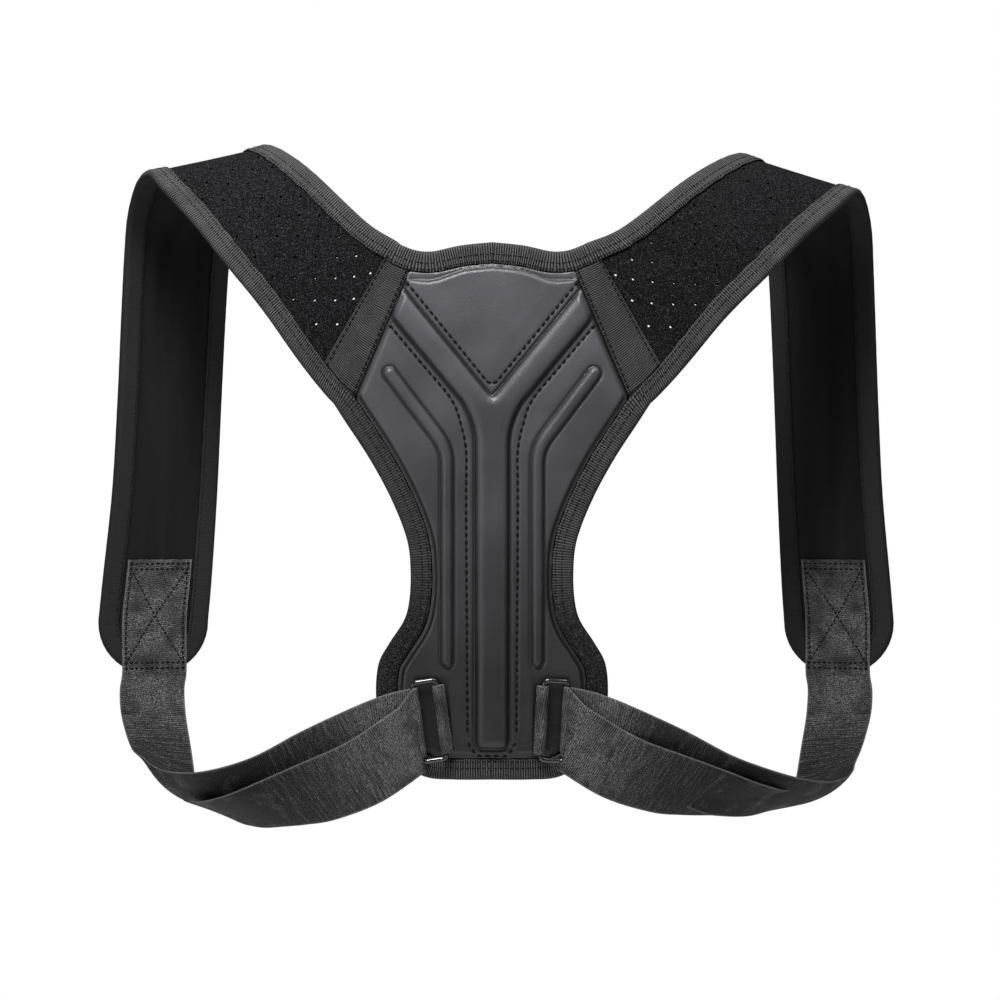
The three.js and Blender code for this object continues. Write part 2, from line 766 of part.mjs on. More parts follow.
// A webbing's way: down the inner face of its strap's end, round under the arm to its ring,
// round the ring's bar, and back over itself as the free tail.
function webbingWay(side, stations) {
  const lead = stations[stations.length - 1];
  const [endLevel, fullLevel] = [lead.centre.z, lead.centre.z + strapEndRadius];
  const patchRow = (level) => {
    const { centre, across } = stationAtLevel(stations, level);
    const face = down.clone().cross(across).multiplyScalar(-side.sign).normalize();
    const overTape = 1 - ease(fullLevel - tapeFlap, fullLevel + tapeFlap, level);
    const below = lerp(sheetThickness / 2 + clearance, tapeOuter, overTape);
    const place = centre.clone().addScaledVector(face, below + clearance + webThickness / 2);
    return { x: place.x, y: place.y, z: level, slope: 0, swing: degrees(Math.asin(across.y)), cup: 0 };
  };
  const { up, out, centre } = ringFrame(side);
  const bar = centre.clone().addScaledVector(out, ringSpan / 2);
  const wrap = wireRadius + clearance + webThickness / 2;
  const [behind, before] = [-wrap, wrap].map((depth) => bar.clone().addScaledVector(outwards, depth));
  const start = patchRow(endLevel);
  const freeRow = (row, end, level) => ({
    x: lerp(start.x, end.x, row.inward),
    y: lerp(start.y, end.y, row.forward),
    z: level - side.sag * turnSag * row.cup,
    slope: row.slope * lerp(1, side.twist, row.cup),
    swing: row.swing,
    cup: row.cup,
  });
  const levelOf = (row) => lerp(turnLevel, bar.z, row.up);
  const liftOf = (row) => side.lift * tailLift * (1 - row.inward);
  const ringRow = { inward: 1, forward: 1, up: 1, slope: side.tilt * ringTilt - 90, swing: 0, cup: 0 };
  const patch = [1, 0.75, 0.5, 0.25, 0].map((share) => patchRow(endLevel + share * patchLength));
  const turn = turnRows.map((row) => freeRow(row, behind, lerp(endLevel, turnLevel, row.down)));
  const near = [...nearRows, ringRow].map((row) => freeRow(row, behind, levelOf(row)));
  const tail = tailRows.map((row) => freeRow(row, before, levelOf(row) + liftOf(row)));
  const placed = (row) => ({
    place: point(row.x, row.y, row.z),
    across: acrossDirection(side, row),
    cup: row.cup * webCup,
  });
  const round = [1, 2, 3, 4, 5, 6].map((k) => {
    const angle = (k * Math.PI) / 6;
    const place = bar.clone().addScaledVector(outwards, -wrap * Math.cos(angle));
    return { place: place.addScaledVector(out, -wrap * Math.sin(angle)), across: up.clone().negate(), cup: 0 };
  });
  return [
    ...smoothRows([...patch, ...turn, ...near], 2).map(placed),
    ...round,
    ...smoothRows(tail, 2).map(placed),
  ];
}

// The webbing's middle surface bulges to its outer side by the cup of each row.
function webbingGeometry(side, stations) {
  const way = webbingWay(side, stations);
  const grid = way.map(({ place, across, cup }, i) => {
    const along = held(way, i + 1).place.clone().sub(held(way, i - 1).place);
    const outer = along.cross(across).normalize().multiplyScalar(side.sign * cup);
    return Array.from({ length: webColumns + 1 }, (_, k) => {
      const beside = (2 * k) / webColumns - 1;
      const middle = place.clone().addScaledVector(across, (beside * webWidth) / 2);
      return middle.addScaledVector(outer, 1 - beside * beside);
    });
  });
  return sheetSolid(grid, webThickness);
}

const finishes = {
  velour: { color: 0x141416, roughness: 0.95, metalness: 0 },
  leatherette: { color: 0x3a3d41, roughness: 0.5, metalness: 0 },
  grosgrain: { color: 0x2c2d30, roughness: 0.8, metalness: 0 },
  webbing: { color: 0x26272a, roughness: 0.65, metalness: 0 },
  wire: { color: 0x0c0c0d, roughness: 0.25, metalness: 0.6 },
};

function piece(name, geometry, finish) {
  const mesh = new THREE.Mesh(geometry, new THREE.MeshStandardMaterial(finishes[finish]));
  mesh.name = name;
  return mesh;
}

const group = new THREE.Group();
const straps = sides.map(strapStations);
group.add(piece('back_pad', plate(padOutline(), 0, sheetThickness), 'velour'));
group.add(piece('back_panel', panelGeometry(), 'leatherette'));
group.add(piece('edge_binding', bindingGeometry(straps), 'grosgrain'));
sides.forEach((side, i) => {
  const assembly = new THREE.Group();
  assembly.add(piece(`${side.name}_shoulder_strap`, strapGeometry(straps[i]), 'velour'));
  assembly.add(piece(`${side.name}_cross_band`, bandGeometry(side, straps[i]), 'grosgrain'));
  assembly.add(piece(`${side.name}_webbing`, webbingGeometry(side, straps[i]), 'webbing'));
  assembly.add(piece(`${side.name}_ring`, ringGeometry(side), 'wire'));
  assembly.add(piece(`${side.name}_anchor_loop`, foldGeometry(side), 'webbing'));
  group.add(assembly);
});

export default group;
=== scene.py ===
"""A posture corrector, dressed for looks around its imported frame.

Metres, +Z up. The origin lies on the wearer's side of the pad, on the midline, and the outer face looks
along -Y. Every piece keeps to the sizes and rows of the solids that it stands for.
"""

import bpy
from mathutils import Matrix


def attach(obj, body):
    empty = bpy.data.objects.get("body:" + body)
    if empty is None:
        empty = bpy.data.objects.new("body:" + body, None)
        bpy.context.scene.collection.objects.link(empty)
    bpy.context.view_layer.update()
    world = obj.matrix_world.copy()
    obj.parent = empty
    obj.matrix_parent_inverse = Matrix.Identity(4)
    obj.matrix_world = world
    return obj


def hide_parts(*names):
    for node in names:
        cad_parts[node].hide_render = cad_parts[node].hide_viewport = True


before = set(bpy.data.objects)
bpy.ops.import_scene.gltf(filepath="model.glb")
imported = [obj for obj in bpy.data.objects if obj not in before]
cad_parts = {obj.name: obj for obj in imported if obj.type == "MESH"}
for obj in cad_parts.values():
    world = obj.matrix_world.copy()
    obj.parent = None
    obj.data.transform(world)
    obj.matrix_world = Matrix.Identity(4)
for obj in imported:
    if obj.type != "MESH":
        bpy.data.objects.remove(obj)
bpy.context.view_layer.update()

import logging
import math
from dataclasses import dataclass, field
from enum import Enum
from typing import Iterable, NamedTuple, Sequence

import bmesh
import bpy
import numpy as np
from mathutils import Matrix, Vector

Array = np.ndarray
Material = bpy.types.Material
Node = bpy.types.Node
NodeTree = bpy.types.NodeTree
Piece = bpy.types.Object
Socket = bpy.types.NodeSocket
Sockets = bpy.types.bpy_prop_collection

log = logging.getLogger("posture_corrector")
MM = 0.001
BODY = "root"
OUTWARDS = np.array([0.0, -1.0, 0.0])
DOWN = np.array([0.0, 0.0, -1.0])


class Slot(Enum):
    """The material slots that each piece is logged with."""

    VELOUR = "velour"
    LEATHERETTE = "leatherette"
    GROSGRAIN = "grosgrain"
    WEBBING = "webbing"
    WIRE = "wire"


class Weave(Enum):
    """How a woven face is ribbed."""

    FINE_RIBS = "fine ribs"
    BROAD_RIBS = "broad ribs"


class NeckRow(NamedTuple):
    """Neck edge: shares of the neck's half width and of the crest's level."""

    out: float
    level: float


class SideRow(NamedTuple):
    """Arm edge above the waist: shares of the way out to the corner and up to it."""

    spread: float
    level: float


class LobeRow(NamedTuple):
    """Arm edge below the waist: shares of the way out to the lobe and down to the hem."""

    spread: float
    drop: float


class StrapRow(NamedTuple):
    """A strap's station: shares outwards, back and along, its width's slope and swing, and its width."""

    out: float
    back: float
    along: float
    slope: float
    swing: float
    width: float


class WebRow(NamedTuple):
    """A webbing's station: shares inwards, forwards and of a level, its slope and swing, and its cup."""

    inward: float
    forward: float
    level: float
    slope: float
    swing: float
    cup: float


NECK_ROWS = (
    NeckRow(0, 1),
    NeckRow(0.34, 0.988),
    NeckRow(0.64, 0.966),
    NeckRow(0.83, 0.969),
    NeckRow(1, 0.99),
)
SIDE_ROWS = (
    SideRow(1, 1),
    SideRow(0.84, 0.89),
    SideRow(0.51, 0.657),
    SideRow(0.235, 0.42),
    SideRow(0.045, 0.19),
    SideRow(0, 0),
)
LOBE_ROWS = (
    LobeRow(0.04, 0.14),
    LobeRow(0.2, 0.24),
    LobeRow(0.62, 0.35),
    LobeRow(0.93, 0.45),
    LobeRow(1, 0.6),
    LobeRow(0.86, 0.76),
    LobeRow(0.42, 0.9),
    LobeRow(-0.35, 0.985),
    LobeRow(-1.2, 1),
)
SHOULDER_ROWS = (
    StrapRow(0.26, 0.02, 0.29, 44, 2, 1.12),
    StrapRow(0.56, 0.11, 0.62, 43, 7, 1.04),
    StrapRow(0.76, 0.27, 0.83, 33, 14, 1),
    StrapRow(0.92, 0.4, 0.965, 20, 18, 1),
    StrapRow(1, 0.54, 1, 11, 22, 1),
)
FRONT_ROWS = (
    StrapRow(0.27, 0.72, 0.025, 6, 26, 0.99),
    StrapRow(0.48, 0.88, 0.085, 3, 28, 0.98),
    StrapRow(0.59, 0.97, 0.16, 1, 29, 0.96),
    StrapRow(0.66, 1, 0.28, 0, 29, 0.95),
    StrapRow(0.73, 1, 0.46, 0, 28, 0.94),
    StrapRow(0.81, 1, 0.64, 0, 24, 0.93),
    StrapRow(0.94, 1, 0.82, 0, 17, 0.94),
    StrapRow(1, 1, 0.895, 0, 15, 0.94),
)
TURN_ROWS = (
    WebRow(-0.008, 0.005, 0.158, 0, 14, 0),
    WebRow(-0.002, 0.016, 0.374, -3, 8, 0),
    WebRow(0.018, 0.033, 0.603, -9, 4, 0.1),
    WebRow(0.038, 0.069, 0.77, -17, 0, 0.3),
    WebRow(0.055, 0.121, 0.859, -28, 0, 0.7),
    WebRow(0.066, 0.191, 0.921, -39, 0, 1),
    WebRow(0.097, 0.279, 0.957, -38.5, 2, 1),
    WebRow(0.15, 0.358, 0.988, -37, 11, 0.85),
    WebRow(0.2, 0.437, 1, -40, 17, 0.65),
    WebRow(0.274, 0.552, 1, -49, 24, 0.35),
)
NEAR_ROWS = (
    WebRow(0.378, 0.648, 0.064, -58, 22, 0.1),
    WebRow(0.485, 0.727, 0.181, -63, 12, 0),
    WebRow(0.64, 0.815, 0.472, -63, 3, 0),
    WebRow(0.8, 0.99, 0.757, -65, 0, 0),
    WebRow(0.915, 1, 0.928, -80, 0, 0),
)
TAIL_ROWS = (
    WebRow(0.984, 1, 0.8, -66, 0, 0),
    WebRow(0.82, 0.975, 0.402, -60, 0, 0),
    WebRow(0.65, 0.83, 0.117, -57, 9, 0),
    WebRow(0.524, 0.715, -0.051, -48, 21, 0),
    WebRow(0.408, 0.622, -0.183, -37, 28, 0.1),
    WebRow(0.324, 0.513, -0.26, -26, 17, 0.2),
    WebRow(0.254, 0.403, -0.266, -21, 0, 0.2),
)


@dataclass(frozen=True)
class Sizes:
    """The corrector's main sizes in metres, as its solids have them."""

    sheet: float = 4 * MM
    clearance: float = 0.3 * MM
    crest_level: float = 154 * MM
    hem_level: float = -155 * MM
    neck_half: float = 53 * MM
    corner_half: float = 91.5 * MM
    corner_level: float = 63 * MM
    waist_half: float = 46 * MM
    waist_level: float = -36 * MM
    lobe_half: float = 66 * MM
    strap_width: float = 70 * MM
    strap_end_radius: float = 31 * MM
    front_depth: float = 110 * MM
    ridge_reach: float = 106 * MM
    ridge_rise: float = 95 * MM
    front_spread: float = 32 * MM
    front_drop: float = 304 * MM
    ridge_slant: float = 8
    tape: float = 0.9 * MM
    tape_flap: float = 11 * MM
    tape_lift: float = 0.45 * MM
    band_width: float = 20 * MM
    band: float = 1.2 * MM
    band_neck_inset: float = 11.6 * MM
    band_arm_inset: float = 8.6 * MM
    panel: float = 2.2 * MM
    web_width: float = 40 * MM
    web: float = 1.3 * MM
    patch_length: float = 70 * MM
    web_cup: float = 4.5 * MM
    turn_level: float = -169.5 * MM
    wire_radius: float = 1.4 * MM
    ring_level: float = -121.5 * MM
    ring_half: float = 29 * MM
    ring_span: float = 14 * MM
    ring_corner: float = 2.6 * MM
    ring_lift: float = 0.9 * MM
    ring_tilt: float = 5.5
    turn_sag: float = 4 * MM
    tail_lift: float = 12 * MM

    @property
    def panel_back(self) -> float:
        """How far the panel's back lies behind the wearer's face of the pad."""
        return self.sheet + self.clearance

    @property
    def panel_front(self) -> float:
        """How far the panel's plain front lies outwards."""
        return self.panel_back + self.panel

    @property
    def tape_outer(self) -> float:
        """The tape's outer face, from the middle of the sheet that it binds."""
        return self.sheet / 2 + self.tape_lift + self.tape

    @property
    def ring_depth(self) -> float:
        """How far outwards the middle of the ring's wire lies."""
        return self.panel_front + self.ring_lift + self.web + self.clearance + self.wire_radius


SIZES = Sizes()


@dataclass(frozen=True)
class Side:
    """One side as it hangs, as shares of the sizes that the two sides have in common."""

    name: str
    sign: int
    reach: float
    rise: float
    spread: float
    drop: float
    tilt: float
    slant: float
    twist: float
    sag: float
    lift: float


LEFT = Side("left", -1, 0.943, 1.042, 1.17, 1.013, 1.45, 0.3, 1.05, 0, 0)
RIGHT = Side("right", 1, 1.066, 0.958, 0.9, 0.987, 0.55, 1, 0.65, 1, 1)


def mix(a: float | Array, b: float | Array, share: float | Array) -> float | Array:
    """Gives the value, or the row of values, at a share of the way from a to b."""
    return a + (b - a) * share


def ease(start: float, end: float, value: Array) -> Array:
    """Gives a smooth step from 0 at start to 1 at end."""
    t = np.clip((value - start) / (end - start), 0, 1)
    return t * t * (3 - 2 * t)


def unit(vectors: Array) -> Array:
    """Gives the vectors at length one."""
    length = np.linalg.norm(vectors, axis=-1, keepdims=True)
    return vectors / np.maximum(length, 1e-12)


def smooth_rows(rows: Array, steps: int) -> Array:
    """Puts smooth rows between rows.

    Args:
        rows: One row for each station, one column for each value.
        steps: How many steps each stretch between two rows gets.

    Returns:
        The rows with the smooth ones between them.
    """
    ends = np.vstack([rows[:1], rows, rows[-1:]])
    a, b, c, d = ends[:-3], ends[1:-2], ends[2:-1], ends[3:]
    t = (np.arange(steps) / steps)[:, None, None]
    found = b + 0.5 * t * (c - a + t * (2 * a - 5 * b + 4 * c - d + t * (3 * (b - c) + d - a)))
    return np.vstack([found.transpose(1, 0, 2).reshape(-1, rows.shape[1]), rows[-1:]])


def lengths_along(points: Array) -> Array:
    """Gives the distance along a line at each of its points."""
    steps = np.linalg.norm(np.diff(points, axis=0), axis=1)
    return np.concatenate([[0.0], np.cumsum(steps)])


def spaced(points: Array, gap: float, closed: bool = False) -> Array:
    """Gives points at even distances along a line.

    Args:
        points: The line's points, in two or three dimensions.
        gap: The distance wanted between points.
        closed: Whether the line goes back to its first point.

    Returns:
        The new points, without the last one on a closed line.
    """
    line = np.vstack([points, points[:1]]) if closed else points
    along = lengths_along(line)
    count = max(2, int(round(along[-1] / gap)) + 1)
    places = np.linspace(0, along[-1], count)
    found = np.stack([np.interp(places, along, line[:, k]) for k in range(line.shape[1])], axis=1)
    return found[:-1] if closed else found


def across_direction(side: Side, slope: Array, swing: Array) -> Array:
    """Gives the direction across a strap or webbing towards the midline, from angles in degrees."""
    slope, swing = np.radians(slope), np.radians(swing)
    flat = np.cos(swing)
    return np.stack([-side.sign * np.cos(slope) * flat, np.sin(swing), np.sin(slope) * flat], axis=-1)


def grid_normals(grid: Array) -> Array:
    """Gives unit normals of a grid of points, from its neighbours along and across."""
    return unit(np.cross(np.gradient(grid, axis=0), np.gradient(grid, axis=1)))


def nearest_on_line(
    points: Array, line: Array, closed: bool = False
) -> tuple[Array, Array]:
    """Gives the nearest places on a line of the plane to the points given, and their distances."""
    ends = np.vstack([line, line[:1]]) if closed else line
    best = np.full(len(points), np.inf)
    found = points.copy()
    for a, b in zip(ends[:-1], ends[1:]):
        along = b - a
        share = np.clip((points - a) @ along / max(along @ along, 1e-18), 0, 1)
        places = a + share[:, None] * along
        far = np.linalg.norm(points - places, axis=1)
        nearer = far < best
        best[nearer] = far[nearer]
        found[nearer] = places[nearer]
    return found, best


def distance_to_line(points: Array, line: Array, closed: bool = False) -> Array:
    """Gives each point's distance to a line of points in the plane."""
    return nearest_on_line(points, line, closed)[1]


def inside(points: Array, line: Array) -> Array:
    """Says which points lie inside a closed line."""
    found = np.zeros(len(points), dtype=bool)
    x, z = points[:, 0], points[:, 1]
    for a, b in zip(line, np.roll(line, -1, axis=0)):
        if a[1] == b[1]:
            continue
        crosses = (a[1] > z) != (b[1] > z)
        found ^= crosses & (x < a[0] + (z - a[1]) * (b[0] - a[0]) / (b[1] - a[1]))
    return found


def signed_inside(points: Array, line: Array) -> Array:
    """Gives each point's distance to a closed line, positive inside it."""
    return np.where(inside(points, line), 1.0, -1.0) * distance_to_line(points, line, closed=True)


def mirror_points(points: Array) -> Array:
    """Gives points of the plane on the other side of the midline."""
    return points * np.array([-1.0, 1.0])


def whole_outline(half: Array) -> Array:
    """Closes a half outline, which starts and ends on the midline, with its mirror image."""
    return np.vstack([half, mirror_points(half[1:-1][::-1])])


def value_at(distance: float, along: Array, values: Array) -> Array:
    """Gives the row of values at a distance along a line."""
    return np.array([np.interp(distance, along, column) for column in values.T])


def soft_bend(first: Array, corner: Array, last: Array, count: int) -> Array:
    """Gives points on a bend from the first place to the last, drawn towards a corner."""
    t = np.linspace(0, 1, count)[:, None]
    return first * (1 - t) ** 2 + corner * 2 * t * (1 - t) + last * t**2


def dip(distance: Array, reach: float) -> Array:
    """Gives a soft dip: 1 at no distance, and next to nothing at twice the reach."""
    return np.exp(-((distance / reach) ** 2))


# Meshes


def new_object(
    name: str,
    points: Array,
    faces: Sequence[Sequence[int]],
    material: Material,
    way: Array | None = None,
    edges: Sequence[Sequence[int]] = (),
) -> Piece:
    """Makes an object at the origin from points and faces.

    Args:
        name: The object's name.
        points: Its points.
        faces: Its faces, as lists of point numbers.
        material: The material that it takes.
        way: For each point, the distance across and along its cloth and a third value.
        edges: Edges for a mesh that has no faces.

    Returns:
        The new object, linked to the scene.
    """
    mesh = bpy.data.meshes.new(name)
    places = [tuple(point) for point in np.asarray(points, dtype=float)]
    mesh.from_pydata(places, list(edges), [list(face) for face in faces])
    if way is not None:
        attribute = mesh.attributes.new("way", "FLOAT_VECTOR", "POINT")
        attribute.data.foreach_set("vector", np.asarray(way, dtype=np.float32).ravel())
    mesh.materials.append(material)
    mesh.validate()
    made = bpy.data.objects.new(name, mesh)
    bpy.context.collection.objects.link(made)
    if faces:
        outward(made)
        mesh.shade_smooth()
    return made


def outward(made: Piece) -> None:
    """Turns a closed mesh's faces outwards."""
    work = bmesh.new()
    work.from_mesh(made.data)
    bmesh.ops.recalc_face_normals(work, faces=work.faces)
    if work.calc_volume(signed=True) < 0:
        bmesh.ops.reverse_faces(work, faces=work.faces)
    work.to_mesh(made.data)
    work.free()


def sharpen(made: Piece, degrees: float) -> None:
    """Keeps edges sharper than an angle sharp in the shading."""
    made.data.set_sharp_from_angle(angle=math.radians(degrees))


def loft(
    name: str,
    sections: Array,
    ways: Array,
    material: Material,
    closed: bool,
) -> Piece:
    """Makes a solid through closed sections of equal counts.

    Args:
        name: The object's name.
        sections: Points by section and place round it.
        ways: The way values of the same points.
        material: The material that it takes.
        closed: Whether the last section joins the first; otherwise both ends are capped.

    Returns:
        The new object.
    """
    rows, count = sections.shape[:2]
    ids = np.arange(rows * count).reshape(rows, count)
    nxt = np.roll(ids, -1, axis=1)
    upper = np.roll(ids, -1, axis=0)
    upper_nxt = np.roll(upper, -1, axis=1)
    quads = np.stack([ids, nxt, upper_nxt, upper], axis=-1)
    faces = quads[: rows if closed else rows - 1].reshape(-1, 4).tolist()
    if not closed:
        faces += [ids[0].tolist(), ids[-1][::-1].tolist()]
    return new_object(name, sections.reshape(-1, 3), faces, material, ways.reshape(-1, 3))


def ribbon(
    name: str,
    centres: Array,
    across: Array,
    width: float,
    thickness: float,
    material: Material,
    wear_and_glint: Array,
    crown: Array | None = None,
    columns: int = 15,
) -> Piece:
    """Makes a flat band of cloth along a line, with rounded edges.

    Args:
        name: The object's name.
        centres: The middle line's points.
        across: The unit direction across the band at each point.
        width: The band's width.
        thickness: Its thickness.
        material: The material that it takes.
        wear_and_glint: How much wearing the cloth shows at each point, from 0 to 1, which also places its
            painted glints.
        crown: How far the middle of the width stands out from the edges, at each point.
        columns: How many columns a face has.

    Returns:
        The new object.
    """
    share = np.sin(np.linspace(-1, 1, columns) * math.pi / 2)
    half = thickness / 2 * np.maximum(np.sqrt(1 - np.abs(share) ** 10), 0.22)
    grid = centres[:, None, :] + across[:, None, :] * (share[None, :, None] * width / 2)
    normals = grid_normals(grid)
    if crown is not None:
        grid = grid + normals * (crown[:, None] * (1 - share**2))[:, :, None]
    rise = normals * half[None, :, None]
    sections = np.concatenate([grid + rise, (grid - rise)[:, ::-1]], axis=1)
    ways = np.zeros(sections.shape)
    ways[:, :, 0] = np.concatenate([share, share[::-1]]) * width / 2
    ways[:, :, 1] = lengths_along(centres)[:, None]
    ways[:, :, 2] = wear_and_glint[:, None]
    return loft(name, sections, ways, material, closed=False)


def flat_grid(line: Array, gap: float) -> tuple[Array, list[list[int]], Array]:
    """Fills a closed line of the plane with even quads, whose outer points lie on the line.

    Args:
        line: The closed line.
        gap: The quads' size.

    Returns:
        The points, the quads, and the point numbers of the rim in order.
    """
    low, high = line.min(axis=0) - gap, line.max(axis=0) + gap
    xs = np.arange(low[0], high[0], gap)
    xs = xs - (xs[0] + xs[-1]) / 2
    zs = np.arange(low[1], high[1], gap)
    columns = len(xs)
    points = np.stack(np.meshgrid(xs, zs), axis=-1).reshape(-1, 2)
    ids = np.arange(len(points)).reshape(len(zs), columns)
    quads = np.stack([ids[:-1, :-1], ids[:-1, 1:], ids[1:, 1:], ids[1:, :-1]], axis=-1).reshape(-1, 4)
    quads = quads[signed_inside(points[quads].mean(axis=1), line) > 0.15 * gap]
    used, numbers = np.unique(quads, return_inverse=True)
    points, quads = points[used], numbers.reshape(-1, 4)
    edges = dict.fromkeys((a, b) for quad in quads.tolist() for a, b in zip(quad, quad[1:] + quad[:1]))
    follow = {a: b for a, b in edges if (b, a) not in edges}
    start = next(iter(follow))
    rim = [start]
    while follow[rim[-1]] != start:
        rim.append(follow[rim[-1]])
    points[rim] = nearest_on_line(points[rim], line, closed=True)[0]
    return points, quads.tolist(), np.array(rim)


def plate_between(
    name: str,
    points: Array,
    quads: list[list[int]],
    rim: Array,
    front: Array,
    back: Array,
    material: Material,
    way: Array | None = None,
    fill_back: bool = False,
) -> Piece:
    """Makes a solid from a flat grid with a front and a back depth at each point.

    Args:
        name: The object's name.
        points: The grid's points, as x and z.
        quads: The grid's quads.
        rim: The rim's point numbers in order.
        front: Depths of the outer face.
        back: Depths of the wearer's face.
        material: The material that it takes.
        way: Way values for the points of the outer face.
        fill_back: Whether the back has the grid too; otherwise it is one flat face.

    Returns:
        The new object.
    """
    outer = np.stack([points[:, 0], -front, points[:, 1]], axis=1)
    inner = np.stack([points[:, 0], -back, points[:, 1]], axis=1)
    count = len(points)
    nxt = np.roll(rim, -1)
    if fill_back:
        faces = list(quads) + [[count + k for k in quad[::-1]] for quad in quads]
        faces += [[a, b, count + b, count + a] for a, b in zip(nxt, rim)]
        every = np.vstack([outer, inner])
        ways = None if way is None else np.vstack([way, way])
    else:
        faces = list(quads)
        ring = np.arange(len(rim)) + count
        faces += [[a, b, c, d] for a, b, c, d in zip(nxt, rim, ring, np.roll(ring, -1))]
        faces.append(ring.tolist())
        every = np.vstack([outer, inner[rim]])
        ways = None if way is None else np.vstack([way, way[rim]])
    return new_object(name, every, faces, material, ways)


def finish_piece(made: Piece, slot: Slot, *nodes: str) -> Piece:
    """Puts a piece on the body, hides the solids that it stands for, and logs its faces and slot."""
    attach(made, BODY)
    if nodes:
        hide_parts(*nodes)
    log.info("%s: %d faces, %s", made.name, len(made.data.polygons), slot.value)
    return made


# Node trees


class Graph:
    """A node tree with short calls for its nodes and links."""

    def __init__(self, tree: NodeTree) -> None:
        """Takes the tree to build in."""
        self.tree = tree

    def node(self, kind: str, values: dict | None = None, **settings: object) -> Node:
        """Adds a node.

        Args:
            kind: The node's type name.
            values: Input values or sockets to link, by input name or number.
            settings: Properties of the node.

        Returns:
            The new node.
        """
        made = self.tree.nodes.new(kind)
        for name, value in settings.items():
            setattr(made, name, value)
        for name, value in (values or {}).items():
            self.feed(value, made.inputs[name])
        return made

    def first(self, kind: str, values: dict | None = None, **settings: object) -> Socket:
        """Adds a node and gives its first output."""
        return self.node(kind, values, **settings).outputs[0]

    def feed(self, value: object, socket: Socket) -> None:
        """Links a socket, or sets a plain value on it."""
        if isinstance(value, Socket):
            self.tree.links.new(value, socket)
        else:
            socket.default_value = value

    def math(self, operation: str, *values: object) -> Socket:
        """Adds a Math node and gives its output."""
        return self.first("ShaderNodeMath", dict(enumerate(values)), operation=operation)

    def noise(self, vector: object, scale: object, detail: float = 2.0) -> Socket:
        """Adds a Noise Texture and gives its value."""
        values = {"Vector": vector, "Scale": scale, "Detail": detail}
        return self.first("ShaderNodeTexNoise", values)

    def ramp(self, value: object, low: float, high: float, start: object, end: object) -> Socket:
        """Maps a value from one range onto another and gives the result."""
        values = {"Value": value, "From Min": low, "From Max": high, "To Min": start, "To Max": end}
        return self.first("ShaderNodeMapRange", values)

    def blend(self, factor: object, a: object, b: object) -> Socket:
        """Mixes two colours and gives the result."""
        made = self.tree.nodes.new("ShaderNodeMix")
        made.data_type = "RGBA"
        self.feed(factor, made.inputs[0])
        self.feed(a, made.inputs[6])
        self.feed(b, made.inputs[7])
        return made.outputs[2]


def new_group(name: str, kind: str, inputs: dict[str, str], outputs: dict[str, str]) -> Graph:
    """Makes a node group with named sockets.

    Args:
        name: The group's name.
        kind: The tree's type.
        inputs: Socket types by input name.
        outputs: Socket types by output name.

    Returns:
        A graph on the new group.
    """
    tree = bpy.data.node_groups.new(name, kind)
    for label, socket in inputs.items():
        tree.interface.new_socket(label, in_out="INPUT", socket_type=socket)
    for label, socket in outputs.items():
        tree.interface.new_socket(label, in_out="OUTPUT", socket_type=socket)
    return Graph(tree)


FLOAT = "NodeSocketFloat"
COLOUR = "NodeSocketColor"
VECTOR = "NodeSocketVector"
GEOMETRY = "NodeSocketGeometry"
MATERIAL = "NodeSocketMaterial"
OBJECT = "NodeSocketObject"


